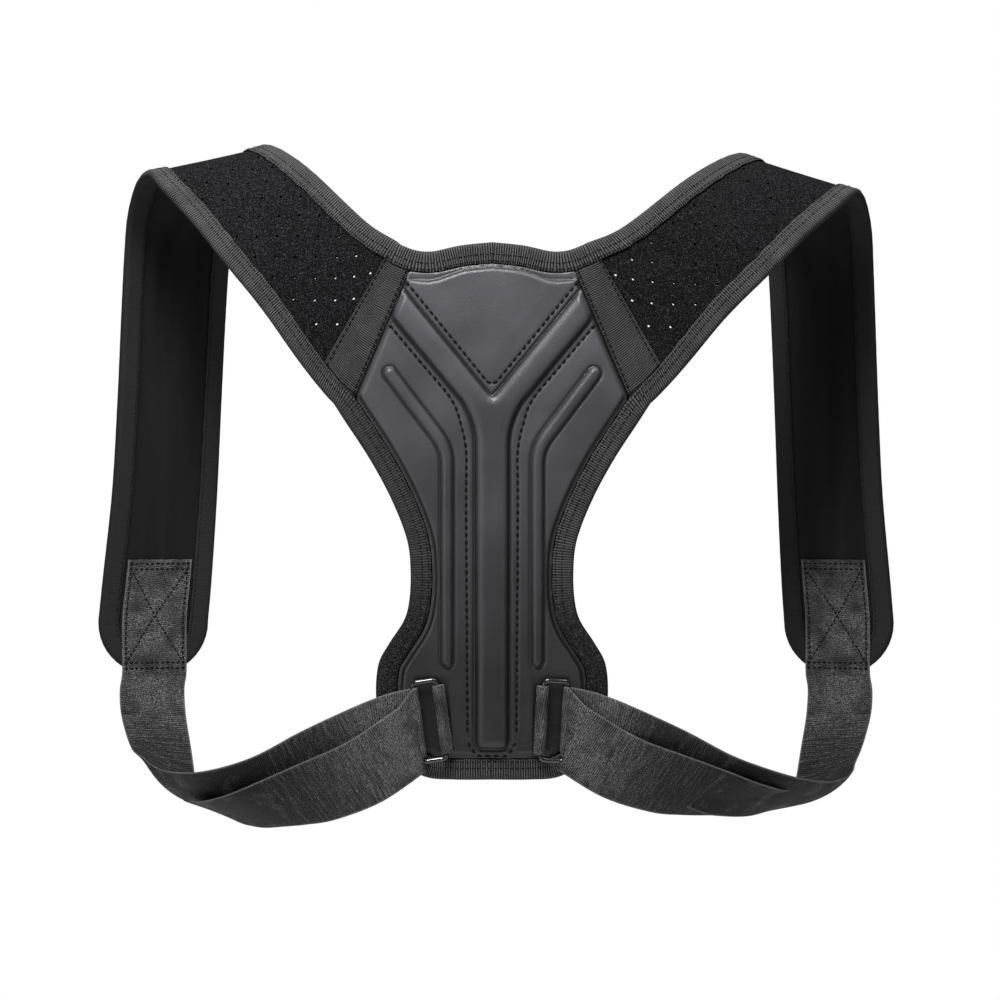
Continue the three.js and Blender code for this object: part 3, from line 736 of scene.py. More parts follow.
class SharedPatterns:
    """Shader groups that more than one finish uses, each built once."""

    def __init__(self) -> None:
        """Builds the groups."""
        self.ribs = self.build_ribs()
        self.nap = self.build_nap()
        self.drift = self.build_drift()

    @staticmethod
    def build_ribs() -> NodeTree:
        """Builds woven ribs across a cloth, from its way."""
        graph = new_group(
            "cross_ribs",
            "ShaderNodeTree",
            {"Way": VECTOR, "Pitch": FLOAT, "Lean": FLOAT, "Waver": FLOAT},
            {"Height": FLOAT, "Thread": FLOAT},
        )
        source = graph.node("NodeGroupInput").outputs
        parts = graph.node("ShaderNodeSeparateXYZ", {"Vector": source["Way"]}).outputs
        loose = graph.math("MULTIPLY", graph.noise(source["Way"], 260.0), source["Waver"])
        leaned = graph.math("MULTIPLY", parts["X"], source["Lean"])
        along = graph.math("ADD", graph.math("ADD", parts["Y"], leaned), loose)
        turn = graph.math("DIVIDE", graph.math("MULTIPLY", along, math.tau), source["Pitch"])
        wave = graph.ramp(graph.math("SINE", turn), -1.0, 1.0, 0.0, 1.0)
        ply = graph.math("DIVIDE", graph.math("MULTIPLY", parts["X"], math.tau * 2), source["Pitch"])
        twist = graph.ramp(graph.math("SINE", ply), -1.0, 1.0, 0.7, 1.0)
        result = graph.node("NodeGroupOutput").inputs
        graph.feed(graph.math("MULTIPLY", graph.math("SQRT", wave), twist), result["Height"])
        graph.feed(wave, result["Thread"])
        return graph.tree

    @staticmethod
    def build_nap() -> NodeTree:
        """Builds the short pile of velour."""
        graph = new_group(
            "nap",
            "ShaderNodeTree",
            {"Place": VECTOR, "Scale": FLOAT},
            {"Height": FLOAT, "Speck": FLOAT},
        )
        source = graph.node("NodeGroupInput").outputs
        fine = graph.noise(source["Place"], source["Scale"], 3.0)
        coarse = graph.noise(source["Place"], graph.math("MULTIPLY", source["Scale"], 0.77), 1.0)
        result = graph.node("NodeGroupOutput").inputs
        graph.feed(graph.math("ADD", fine, graph.math("MULTIPLY", coarse, 0.7)), result["Height"])
        graph.feed(graph.ramp(graph.math("MULTIPLY", fine, coarse), 0.24, 0.42, 0.0, 1.0), result["Speck"])
        return graph.tree

    @staticmethod
    def build_drift() -> NodeTree:
        """Builds slow changes of shade over a surface."""
        graph = new_group(
            "shade_drift",
            "ShaderNodeTree",
            {"Place": VECTOR, "Scale": FLOAT, "Dark": COLOUR, "Light": COLOUR},
            {"Colour": COLOUR, "Mask": FLOAT},
        )
        source = graph.node("NodeGroupInput").outputs
        mask = graph.ramp(graph.noise(source["Place"], source["Scale"], 4.0), 0.35, 0.65, 0.0, 1.0)
        result = graph.node("NodeGroupOutput").inputs
        graph.feed(graph.blend(mask, source["Dark"], source["Light"]), result["Colour"])
        graph.feed(mask, result["Mask"])
        return graph.tree


def start_material(
    name: str, roughness: float = 0.5, specular: float = 0.5
) -> tuple[Material, Graph, Node]:
    """Makes a material on a Principled shader.

    Args:
        name: The material's name.
        roughness: Its roughness, where nothing feeds that.
        specular: Its specular level.

    Returns:
        The material, its graph and its shader.
    """
    material = bpy.data.materials.new(name)
    material.use_nodes = True
    shader = material.node_tree.nodes["Principled BSDF"]
    shader.inputs["Roughness"].default_value = roughness
    shader.inputs["Specular IOR Level"].default_value = specular
    return material, Graph(material.node_tree), shader


def place_of(graph: Graph) -> Socket:
    """Gives the object coordinates."""
    return graph.node("ShaderNodeTexCoord").outputs["Object"]


def way_of(graph: Graph) -> Socket:
    """Gives the way across and along a cloth."""
    return graph.node("ShaderNodeAttribute", attribute_name="way").outputs["Vector"]


def use_group(graph: Graph, tree: NodeTree, values: dict) -> Node:
    """Puts a shared group in a material with its own values."""
    made = graph.node("ShaderNodeGroup", node_tree=tree)
    for name, value in values.items():
        graph.feed(value, made.inputs[name])
    return made


def grey(value: float, blue: float = 1.0) -> tuple[float, float, float, float]:
    """Gives a dark grey, with its blue a little stronger or weaker."""
    return (value, value, value * blue, 1.0)


def drift_of(
    graph: Graph,
    shared: SharedPatterns,
    place: Socket,
    scale: float,
    dark: tuple[float, ...],
    light: tuple[float, ...],
) -> Sockets:
    """Lets a colour drift slowly between two shades over a surface.

    Args:
        graph: The material's graph.
        shared: The shared groups.
        place: The coordinates that the drift follows.
        scale: How fine the drift is.
        dark: The darker shade.
        light: The lighter shade.

    Returns:
        The outputs: the colour and its mask.
    """
    values = {"Place": place, "Scale": scale, "Dark": dark, "Light": light}
    return use_group(graph, shared.drift, values).outputs


def stretch(graph: Graph, place: Socket, scale: tuple[float, float, float]) -> Socket:
    """Gives coordinates that are scaled, so that what follows them is drawn out."""
    return graph.first("ShaderNodeMapping", {"Vector": place, "Scale": scale})


def set_bump(graph: Graph, shader: Node, height: object, distance: float) -> None:
    """Feeds a height into the shader's normal."""
    bump = graph.node("ShaderNodeBump", {"Height": height, "Distance": distance, "Strength": 1.0})
    graph.feed(bump.outputs["Normal"], shader.inputs["Normal"])


@dataclass(frozen=True)
class VelourFinish:
    """Loop pile of the pad and the straps."""

    name: str = "black_velour"
    pile: float = 1500.0
    depth: float = 0.55 * MM
    dark: float = 0.0018
    light: float = 0.026

    def make(self, shared: SharedPatterns) -> Material:
        """Builds the material."""
        material, graph, shader = start_material(self.name, 0.92, 0.06)
        place = place_of(graph)
        nap = use_group(graph, shared.nap, {"Place": place, "Scale": self.pile}).outputs
        shades = grey(self.dark, 1.1), grey(self.dark * 1.5, 1.1)
        ground = drift_of(graph, shared, place, 30.0, *shades)["Colour"]
        graph.feed(graph.blend(nap["Speck"], ground, grey(self.light, 1.08)), shader.inputs["Base Color"])
        set_bump(graph, shader, nap["Height"], self.depth)
        return material


@dataclass(frozen=True)
class LiningAndPaintedShadeFinish:
    """Smooth cloth on the wearer's side of the straps, with faint bands along it, kept very dark, partly as
    painted shade on those faces.
    """

    name: str = "smooth_lining"
    dark: float = 0.0022
    light: float = 0.0055

    def make(self, shared: SharedPatterns) -> Material:
        """Builds the material."""
        material, graph, shader = start_material(self.name, 0.75, 0.12)
        place = place_of(graph)
        along = stretch(graph, place, (1.0, 1.0, 0.08))
        shades = grey(self.dark, 1.1), grey(self.light, 1.12)
        graph.feed(drift_of(graph, shared, along, 75.0, *shades)["Colour"], shader.inputs["Base Color"])
        set_bump(graph, shader, graph.noise(place, 2600.0), 0.1 * MM)
        return material


@dataclass(frozen=True)
class LeatheretteFinish:
    """Fine-grained coated cloth of the moulded panel, with painted light that makes it lighter towards the
    neck and darker towards the hem, and painted shade in its grooves and hollows.
    """

    name: str = "grained_leatherette"
    grain: float = 1150.0
    depth: float = 0.1 * MM
    dark: float = 0.024
    light: float = 0.034
    # Painted light from above: the colour is scaled from the low shade at the low level up to the high one at
    # the high level.
    low_level: float = -110 * MM
    bottom_painted_shade: float = 0.3
    high_level: float = 120 * MM
    top_painted_light: float = 1.5

    def make(self, shared: SharedPatterns) -> Material:
        """Builds the material. The way's third value is how far a place stands proud; low values paint shade
        into grooves and a near-black shadow into the hollows under the rings.
        """
        material, graph, shader = start_material(self.name, specular=0.4)
        place = place_of(graph)
        base = drift_of(graph, shared, place, 26.0, grey(self.dark, 1.08), grey(self.light, 1.1))
        proud = graph.node("ShaderNodeSeparateXYZ", {"Vector": way_of(graph)}).outputs["Z"]
        # Painted shade: where a place lies low in a groove, trench or seam, the colour turns dark.
        wear_and_painted_light = graph.ramp(proud, -0.5, 0.5, 0.0, 1.0)
        # Painted light: the colour grows lighter with height, as if lit from above.
        level = graph.node("ShaderNodeSeparateXYZ", {"Vector": place}).outputs["Z"]
        shade = graph.ramp(level, self.low_level, self.high_level, self.bottom_painted_shade, self.top_painted_light)
        lit = graph.first("ShaderNodeVectorMath", {0: base["Colour"], "Scale": shade}, operation="SCALE")
        shaded = graph.blend(wear_and_painted_light, grey(0.002, 1.05), lit)
        # Painted shadow: the hollows under the rings turn near black.
        painted_hollow_shadow = graph.ramp(proud, -2.4, -1.2, 1.0, 0.0)
        graph.feed(graph.blend(painted_hollow_shadow, shaded, grey(0.0008)), shader.inputs["Base Color"])
        cells = graph.first("ShaderNodeTexVoronoi", {"Vector": place, "Scale": self.grain})
        pores = graph.noise(place, self.grain * 1.7, 2.0)
        height = graph.math("ADD", cells, graph.math("MULTIPLY", pores, 0.5))
        slow = graph.ramp(base["Mask"], 0.0, 1.0, 0.34, 0.42)
        graph.feed(graph.math("ADD", slow, graph.math("MULTIPLY", pores, 0.1)), shader.inputs["Roughness"])
        set_bump(graph, shader, height, self.depth)
        return material


class Cloth(NamedTuple):
    """What every ribbed cloth starts from: its way, its ribs, its nap and its crowns' colour."""

    way: Socket
    ribs: Sockets
    nap: Sockets
    crown: Socket


@dataclass(frozen=True)
class RibbedFinish:
    """Woven cloth with ribs across it: the tape, the bands and the webbing."""

    name: str
    weave: Weave
    pitch: float
    depth: float
    light: float
    # Strength of the painted glints on fine ribs.
    painted_glint_strength: float = 0.0
    lean: float = 0.0
    dark: float = 0.003
    pile_light: float = 0.034
    pile_dark: float = 0.002
    # Colour of plain cloth: partly its own dark tone, partly painted shade on the straps' wearer side.
    plain: float = 0.009
    selvedge: float = 18.8 * MM

    def make(self, shared: SharedPatterns) -> Material:
        """Builds the material.

        The way's third value says how much wearing fine ribs show, which also places their painted glints. On
        broad ribs it turns the cloth to pile towards 1, and to plain cloth towards -1, whose darker colour is
        partly painted shade.
        """
        material, graph, shader = start_material(self.name, specular=0.16)
        way, place = way_of(graph), place_of(graph)
        fine = self.weave is Weave.FINE_RIBS
        waver = self.pitch * (0.35 if fine else 0.2)
        values = {"Way": way, "Pitch": self.pitch, "Lean": self.lean, "Waver": waver}
        ribs = use_group(graph, shared.ribs, values).outputs
        nap = use_group(graph, shared.nap, {"Place": place, "Scale": 1300.0}).outputs
        crown = drift_of(graph, shared, place, 95.0, grey(self.light * 0.72), grey(self.light))["Colour"]
        dress = self.dress_fine if fine else self.dress_broad
        colour, height, roughness = dress(graph, Cloth(way, ribs, nap, crown))
        graph.feed(colour, shader.inputs["Base Color"])
        graph.feed(roughness, shader.inputs["Roughness"])
        set_bump(graph, shader, height, self.depth)
        return material

    def dress_fine(self, graph: Graph, cloth: Cloth) -> tuple[Socket, Socket, Socket]:
        """Gives the colour, height and roughness of fine ribs with lighter rubbed bands, painted glints and
        light selvedges.
        """
        parts = graph.node("ShaderNodeSeparateXYZ", {"Vector": cloth.way}).outputs
        wear_and_painted_light = graph.ramp(parts["Z"], 0.0, 1.0, 0.0, 1.0)
        drawn = stretch(graph, cloth.way, (1.0, 0.05, 1.0))
        bands = graph.ramp(graph.noise(drawn, 150.0, 1.0), 0.35, 0.65, 0.4, 1.0)
        crown = graph.blend(graph.math("MULTIPLY", wear_and_painted_light, bands), grey(self.light * 0.3), cloth.crown)
        woven = graph.blend(cloth.ribs["Thread"], grey(self.dark), crown)
        beside = graph.math("ABSOLUTE", parts["X"])
        rim = graph.ramp(beside, self.selvedge, self.selvedge + 0.6 * MM, 0.0, 0.8)
        # Painted highlights: bright grey glints on shiny patches that grow with the third way value; the
        # lower roughness there is real gloss.
        streaks = graph.math("ADD", graph.noise(cloth.way, 75.0, 5.0), graph.math("MULTIPLY", wear_and_painted_light, 0.22))
        shiny_painted_glint_patches = graph.ramp(streaks, 0.52, 0.78, 0.0, 1.0)
        glints = graph.math("MULTIPLY", shiny_painted_glint_patches, graph.ramp(cloth.nap["Height"], 0.7, 1.05, 0.0, 1.0))
        edged = graph.blend(rim, woven, grey(self.light * 1.9))
        # Painted highlight: the glints lift the colour towards a bright grey.
        colour = graph.blend(graph.math("MULTIPLY", glints, self.painted_glint_strength), edged, grey(0.16))
        return colour, cloth.ribs["Height"], graph.ramp(glints, 0.0, 1.0, 0.62, 0.42)

    def dress_broad(self, graph: Graph, cloth: Cloth) -> tuple[Socket, Socket, float]:
        """Gives the colour, height and roughness of broad ribs, which turn to pile or to plain cloth; the
        plain cloth's dark colour is partly painted shade.
        """
        kind = graph.node("ShaderNodeSeparateXYZ", {"Vector": cloth.way}).outputs["Z"]
        pile = graph.ramp(kind, 0.0, 1.0, 0.0, 1.0)
        plain = graph.ramp(kind, -1.0, 0.0, 1.0, 0.0)
        woven = graph.blend(cloth.ribs["Thread"], grey(self.dark), cloth.crown)
        loops = graph.blend(cloth.nap["Speck"], grey(self.pile_dark), grey(self.pile_light))
        # Plain cloth takes a darker colour, partly painted shade.
        colour = graph.blend(plain, graph.blend(pile, woven, loops), grey(self.plain, 1.08))
        less = graph.math("MULTIPLY", plain, 0.85)
        ribbed = graph.math("SUBTRACT", graph.math("SUBTRACT", 1.0, pile), less)
        rib_height = graph.math("MULTIPLY", cloth.ribs["Height"], ribbed)
        height = graph.math("ADD", rib_height, graph.math("MULTIPLY", cloth.nap["Height"], pile))
        return colour, height, 0.78


@dataclass(frozen=True)
class WireFinish:
    """Black lacquer on the rings' wire."""

    name: str = "black_lacquer"

    def make(self, shared: SharedPatterns) -> Material:
        """Builds the material."""
        material, graph, shader = start_material(self.name)
        coat = drift_of(graph, shared, place_of(graph), 420.0, grey(0.006), grey(0.013))
        graph.feed(coat["Colour"], shader.inputs["Base Color"])
        graph.feed(graph.ramp(coat["Mask"], 0.0, 1.0, 0.13, 0.26), shader.inputs["Roughness"])
        shader.inputs["Metallic"].default_value = 0.35
        shader.inputs["Coat Weight"].default_value = 0.6
        return material


@dataclass(frozen=True)
class ThreadFinish:
    """Sewing thread."""

    name: str
    shade: float

    def make(self, shared: SharedPatterns) -> Material:
        """Builds the material."""
        material, graph, shader = start_material(self.name, 0.7, 0.12)
        shades = grey(self.shade * 0.5), grey(self.shade)
        graph.feed(
            drift_of(graph, shared, place_of(graph), 900.0, *shades)["Colour"], shader.inputs["Base Color"]
        )
        return material


@dataclass
class Wardrobe:
    """Every material, made once from its finish."""

    shared: SharedPatterns = field(default_factory=SharedPatterns)

    def __post_init__(self) -> None:
        """Makes the materials."""
        self.velour = VelourFinish().make(self.shared)
        # Smooth dark cloth for the straps' wearer side, partly painted shade.
        self.lining_and_painted_shade = LiningAndPaintedShadeFinish().make(self.shared)
        self.leatherette = LeatheretteFinish().make(self.shared)
        tape = RibbedFinish("ribbed_tape", Weave.BROAD_RIBS, 1.45 * MM, 0.6 * MM, 0.074)
        self.tape = tape.make(self.shared)
        band = RibbedFinish("ribbed_band", Weave.BROAD_RIBS, 1.25 * MM, 0.55 * MM, 0.06)
        self.band = band.make(self.shared)
        # The webbing's 0.6 is the strength of its painted glints.
        web = RibbedFinish("ribbed_webbing", Weave.FINE_RIBS, 1.2 * MM, 0.4 * MM, 0.044, 0.6, 0.12)
        self.webbing = web.make(self.shared)
        self.wire = WireFinish().make(self.shared)
        self.black_thread = ThreadFinish("black_thread", 0.0025).make(self.shared)


# Geometry Nodes


def bake_nodes(
    host: Piece, tree: NodeTree, values: dict[str, object], name: str
) -> Piece:
    """Runs a geometry tree on an object and keeps the result as a plain mesh.

    Args:
        host: The object that the tree starts from; it is deleted.
        tree: The geometry tree.
        values: Input values by name.
        name: The new object's name.

    Returns:
        The new object.
    """
    modifier = host.modifiers.new("nodes", "NODES")
    modifier.node_group = tree
    for item in tree.interface.items_tree:
        if item.in_out == "INPUT" and item.name in values:
            modifier[item.identifier] = values[item.name]
    depsgraph = bpy.context.evaluated_depsgraph_get()
    mesh = bpy.data.meshes.new_from_object(host.evaluated_get(depsgraph), depsgraph=depsgraph)
    host.modifiers.remove(modifier)
    bpy.data.objects.remove(host, do_unlink=True)
    mesh.name = name
    made = bpy.data.objects.new(name, mesh)
    bpy.context.collection.objects.link(made)
    return made


class Trees:
    """The geometry trees: stitches along lines, punched holes, and a wire ring."""

    def __init__(self) -> None:
        """Builds the trees."""
        self.stitches = self.build_stitches()
        self.perforations = self.build_perforations()
        self.ring = self.build_ring()

    @staticmethod
    def end(graph: Graph, geometry: object, material: object) -> None:
        """Ends a tree with Realize Instances, smooth shading and Set Material."""
        real = graph.first("GeometryNodeRealizeInstances", {0: geometry})
        smooth = graph.first("GeometryNodeSetShadeSmooth", {0: real})
        dressed = graph.first("GeometryNodeSetMaterial", {"Geometry": smooth, "Material": material})
        graph.feed(dressed, graph.node("NodeGroupOutput").inputs[0])

    def build_stitches(self) -> NodeTree:
        """Builds short threads laid end to end along lines."""
        sizes = dict.fromkeys(("Pitch", "Length", "Thread"), FLOAT)
        sockets = {"Lines": GEOMETRY, **sizes, "Material": MATERIAL}
        graph = new_group("stitches", "GeometryNodeTree", sockets, {"Geometry": GEOMETRY})
        source = graph.node("NodeGroupInput").outputs
        curve = graph.first("GeometryNodeMeshToCurve", {0: source["Lines"]})
        spacing = {"Curve": curve, "Length": source["Pitch"]}
        steps = graph.first("GeometryNodeResampleCurve", spacing, mode="LENGTH")
        tangent = graph.first("GeometryNodeInputTangent")
        turn = graph.first("FunctionNodeAlignRotationToVector", {"Vector": tangent}, axis="Z")
        bead = graph.first("GeometryNodeMeshUVSphere", {"Segments": 6, "Rings": 5, "Radius": 0.5})
        thread = {"X": source["Thread"], "Y": source["Thread"], "Z": source["Length"]}
        size = graph.first("ShaderNodeCombineXYZ", thread)
        row = {"Points": steps, "Instance": bead, "Rotation": turn, "Scale": size}
        self.end(graph, graph.first("GeometryNodeInstanceOnPoints", row), source["Material"])
        return graph.tree

    def build_perforations(self) -> NodeTree:
        """Builds round holes punched through a strap, square to its face."""
        sizes = dict.fromkeys(("Radius", "Depth"), FLOAT)
        sockets = {"Strap": GEOMETRY, "Places": OBJECT, **sizes, "Material": MATERIAL}
        graph = new_group("perforations", "GeometryNodeTree", sockets, {"Geometry": GEOMETRY})
        source = graph.node("NodeGroupInput").outputs
        places = graph.node("GeometryNodeObjectInfo", {"Object": source["Places"]}).outputs["Geometry"]
        facing = graph.first("GeometryNodeInputNamedAttribute", {"Name": "way"}, data_type="FLOAT_VECTOR")
        turn = graph.first("FunctionNodeAlignRotationToVector", {"Vector": facing}, axis="Z")
        size = {"Vertices": 12, "Radius": source["Radius"], "Depth": source["Depth"]}
        punch = graph.first("GeometryNodeMeshCylinder", size)
        row = {"Points": places, "Instance": punch, "Rotation": turn}
        real = graph.first(
            "GeometryNodeRealizeInstances", {0: graph.first("GeometryNodeInstanceOnPoints", row)}
        )
        pair = {"Mesh 1": source["Strap"], "Mesh 2": real}
        cut = graph.first("GeometryNodeMeshBoolean", pair, operation="DIFFERENCE", solver="EXACT")
        self.end(graph, cut, source["Material"])
        return graph.tree

    def build_ring(self) -> NodeTree:
        """Builds a rectangular wire ring with rounded corners."""
        sizes = dict.fromkeys(("Width", "Height", "Corner", "Wire"), FLOAT)
        sockets = {"Start": GEOMETRY, **sizes, "Material": MATERIAL}
        graph = new_group("wire_ring", "GeometryNodeTree", sockets, {"Geometry": GEOMETRY})
        source = graph.node("NodeGroupInput").outputs
        frame_size = {"Width": source["Width"], "Height": source["Height"]}
        shape = graph.first("GeometryNodeCurvePrimitiveQuadrilateral", frame_size)
        corner = {"Curve": shape, "Radius": source["Corner"], "Count": 8}
        rounded = graph.first("GeometryNodeFilletCurve", corner, mode="POLY")
        section = {"Resolution": 16, "Radius": source["Wire"]}
        circle = graph.first("GeometryNodeCurvePrimitiveCircle", section)
        wire = graph.first("GeometryNodeCurveToMesh", {"Curve": rounded, "Profile Curve": circle})
        self.end(graph, wire, source["Material"])
        return graph.tree


# Shapes that the assemblies share


class PadOutline:
    """The pad's outline in the back view, as x and z."""

    def __init__(self, steps: int = 10) -> None:
        """Works the outline out from its rows."""
        s = SIZES
        neck = np.array(NECK_ROWS) * np.array([s.neck_half, s.crest_level])
        waist = np.array([s.waist_half, s.waist_level])
        upper = mix(waist, np.array([s.corner_half, s.corner_level]), np.array(SIDE_ROWS))
        lower = mix(waist, np.array([s.lobe_half, s.hem_level]), np.array(LOBE_ROWS))
        self.neck = smooth_rows(neck, steps)
        self.arm = smooth_rows(np.vstack([upper, lower, [[0, s.hem_level]]]), steps)
        self.neck_corner, self.arm_corner = self.neck[-1], self.arm[0]
        self.joint_along = unit(self.neck_corner - self.arm_corner)
        self.joint_out = np.array([self.joint_along[1], -self.joint_along[0]])

    def closed(self) -> Array:
        """Gives the whole outline as one closed line."""
        return whole_outline(np.vstack([self.neck, self.arm]))

    @staticmethod
    def squares(line: Array) -> Array:
        """Gives the directions square to a line, looking out."""
        along = unit(np.gradient(line, axis=0))
        return np.stack([-along[:, 1], along[:, 0]], axis=1)

    def joint_ends(self, across: float, neck_inset: float, arm_inset: float) -> Array:
        """Gives the ends of a line along the joint, by its distance across and its ends' insets."""
        neck = self.neck_corner - self.joint_along * neck_inset
        arm = self.arm_corner + self.joint_along * arm_inset
        return np.array([neck, arm]) + self.joint_out * across

    def panel(self) -> Array:
        """Gives the panel's closed outline, between the tape and the cross bands."""
        s = SIZES
        border = s.band_width / 2 + s.clearance
        top, low = self.joint_ends(-border, s.band_neck_inset, s.band_arm_inset)
        margin = s.tape_flap + 2 * s.clearance
        upper = self.neck - self.squares(self.neck) * margin
        upper = upper[upper[:, 0] < top[0] - 2 * MM]
        lower = self.arm - self.squares(self.arm) * margin
        lower = lower[lower[:, 1] < low[1] - 3 * MM]
        return whole_outline(np.vstack([upper, top[None], low[None], lower]))


class StrapLine:
    """One shoulder strap's middle line, width direction and width, from its root to its lower end."""

    def __init__(self, side: Side, outline: PadOutline, steps: int = 10) -> None:
        """Works the stations out from the strap's rows."""
        s = SIZES
        self.side = side
        middle = (outline.neck_corner + outline.arm_corner) / 2 + outline.joint_out * 2 * s.clearance
        ridge = middle + np.array([side.reach * s.ridge_reach, side.rise * s.ridge_rise])
        self.end_level = ridge[1] - side.drop * s.front_drop
        self.full_level = self.end_level + s.strap_end_radius
        slope = math.degrees(math.atan2(outline.joint_along[1], -outline.joint_along[0]))
        width = float(np.linalg.norm(outline.neck_corner - outline.arm_corner))

        def station(row: StrapRow, x: float, z: float) -> list[float]:
            """Gives a row's values at its place in the back view. The ridge slopes most."""
            steeper = side.slant * s.ridge_slant * math.sin(math.pi * row.back)
            y = mix(-s.sheet / 2, s.front_depth, row.back)
            return [x, y, z, row.slope + steeper, row.swing, row.width * s.strap_width]

        rows = [[middle[0], -s.sheet / 2, middle[1], slope, 0, width]]
        for row in SHOULDER_ROWS:
            x, z = mix(middle[0], ridge[0], row.out), mix(middle[1], ridge[1], row.along)
            rows.append(station(row, x, z))
        for row in FRONT_ROWS:
            x = ridge[0] + row.out * side.spread * s.front_spread
            rows.append(station(row, x, mix(ridge[1], self.end_level, row.along)))
        table = smooth_rows(np.array(rows), steps)
        keep = (table[:, 2] > self.full_level + 2 * MM) | (table[:, 1] < s.front_depth * 0.9)
        turns = np.linspace(0, 1, 12) * math.pi / 2
        end = np.repeat(table[-1:], len(turns), axis=0)
        end[:, 2] = self.full_level - s.strap_end_radius * np.sin(turns)
        end[:, 5] = table[-1, 5] - 2 * s.strap_end_radius * (1 - np.cos(turns))
        body = table[keep]
        table = np.vstack([body, end])
        self.centre = table[:, :3] * np.array([side.sign, 1, 1])
        self.across = across_direction(side, table[:, 3], table[:, 4])
        self.half = table[:, 5] / 2
        self.turn = np.concatenate([np.zeros(len(body)), turns])
        self.along = lengths_along(self.centre)

    def grid(self, columns: int) -> Array:
        """Gives the strap's middle surface by station and column."""
        share = np.linspace(-1, 1, columns)
        reach = share[None, :, None] * self.half[:, None, None]
        return self.centre[:, None, :] + self.across[:, None, :] * reach

    def at(self, distance: float) -> tuple[Array, Array, float, Array]:
        """Gives the middle, width direction, half width and outer normal at a distance along the strap."""
        centre = value_at(distance, self.along, self.centre)
        across = unit(value_at(distance, self.along, self.across))
        ahead = unit(value_at(distance, self.along, np.gradient(self.centre, axis=0)))
        half = float(np.interp(distance, self.along, self.half))
        return centre, across, half, unit(np.cross(ahead, across)) * self.side.sign

    def at_level(self, level: float) -> tuple[Array, Array]:
        """Gives the front strap's middle and width direction at a level."""
        low = int(np.argmax(self.centre[:, 2])) + 1
        levels = -self.centre[low:, 2]
        across = unit(value_at(-level, levels, self.across[low:]))
        return value_at(-level, levels, self.centre[low:]), across

    def ridge_distance(self) -> float:
        """Gives how far along its middle line the strap crosses the ridge."""
        return float(self.along[int(np.argmax(self.centre[:, 2]))])


class Route(NamedTuple):
    """The tape's route: the sheet's edge, its outward direction, its normal, and its pile.

    The pile is 0 where the tape is ribbed and 1 where it is all pile. At -1 the tape is ribbed outside and
    plain on the wearer's face, whose darker colour is partly painted shade.
    """

    place: Array
    out: Array
    normal: Array
    pile: Array


def join_routes(parts: Iterable[Route]) -> Route:
    """Puts routes end to end."""
    return Route(*[np.concatenate(columns) for columns in zip(*parts)])


def flip_route(route: Route) -> Route:
    """Gives a route on the other side of the midline, run the other way."""
    turned = reverse_route(route)
    flip = np.array([-1.0, 1.0, 1.0])
    return Route(*[column * flip for column in turned[:3]], turned.pile)


def reverse_route(route: Route) -> Route:
    """Gives a route run the other way."""
    return Route(*[column[::-1] for column in route])


def cut_route(route: Route, first: int) -> Route:
    """Leaves out the first stations of a route."""
    return Route(*[column[first:] for column in route])


# Assemblies


@dataclass
class Stitching:
    """Collects stitch lines and lays the thread along them."""

    trees: Trees
    wardrobe: Wardrobe
    pitch: float = 3.6 * MM
    length: float = 2.7 * MM
    thread: float = 1.1 * MM

    def sew(
        self,
        name: str,
        lines: Sequence[Array],
        slot: Slot,
        material: Material,
        pitch: float = 0.0,
        thread: float = 0.0,
    ) -> Piece:
        """Lays stitches along lines.

        Args:
            name: The piece's name.
            lines: Open lines of points in space.
            slot: The slot of what is sewn.
            material: The thread.
            pitch: The stitches' pitch, or 0 for the usual one.
            thread: The thread's thickness, or 0 for the usual one.

        Returns:
            The piece, riding on the body.
        """
        points = np.vstack(lines)
        edges = []
        start = 0
        for line in lines:
            edges += [(start + k, start + k + 1) for k in range(len(line) - 1)]
            start += len(line)
        host = new_object(name + "_lines", points, [], material, edges=edges)
        pitch = pitch or self.pitch
        values = {
            "Pitch": pitch,
            "Length": pitch * self.length / self.pitch,
            "Thread": thread or self.thread,
            "Material": material,
        }
        return finish_piece(bake_nodes(host, self.trees.stitches, values, name), slot)


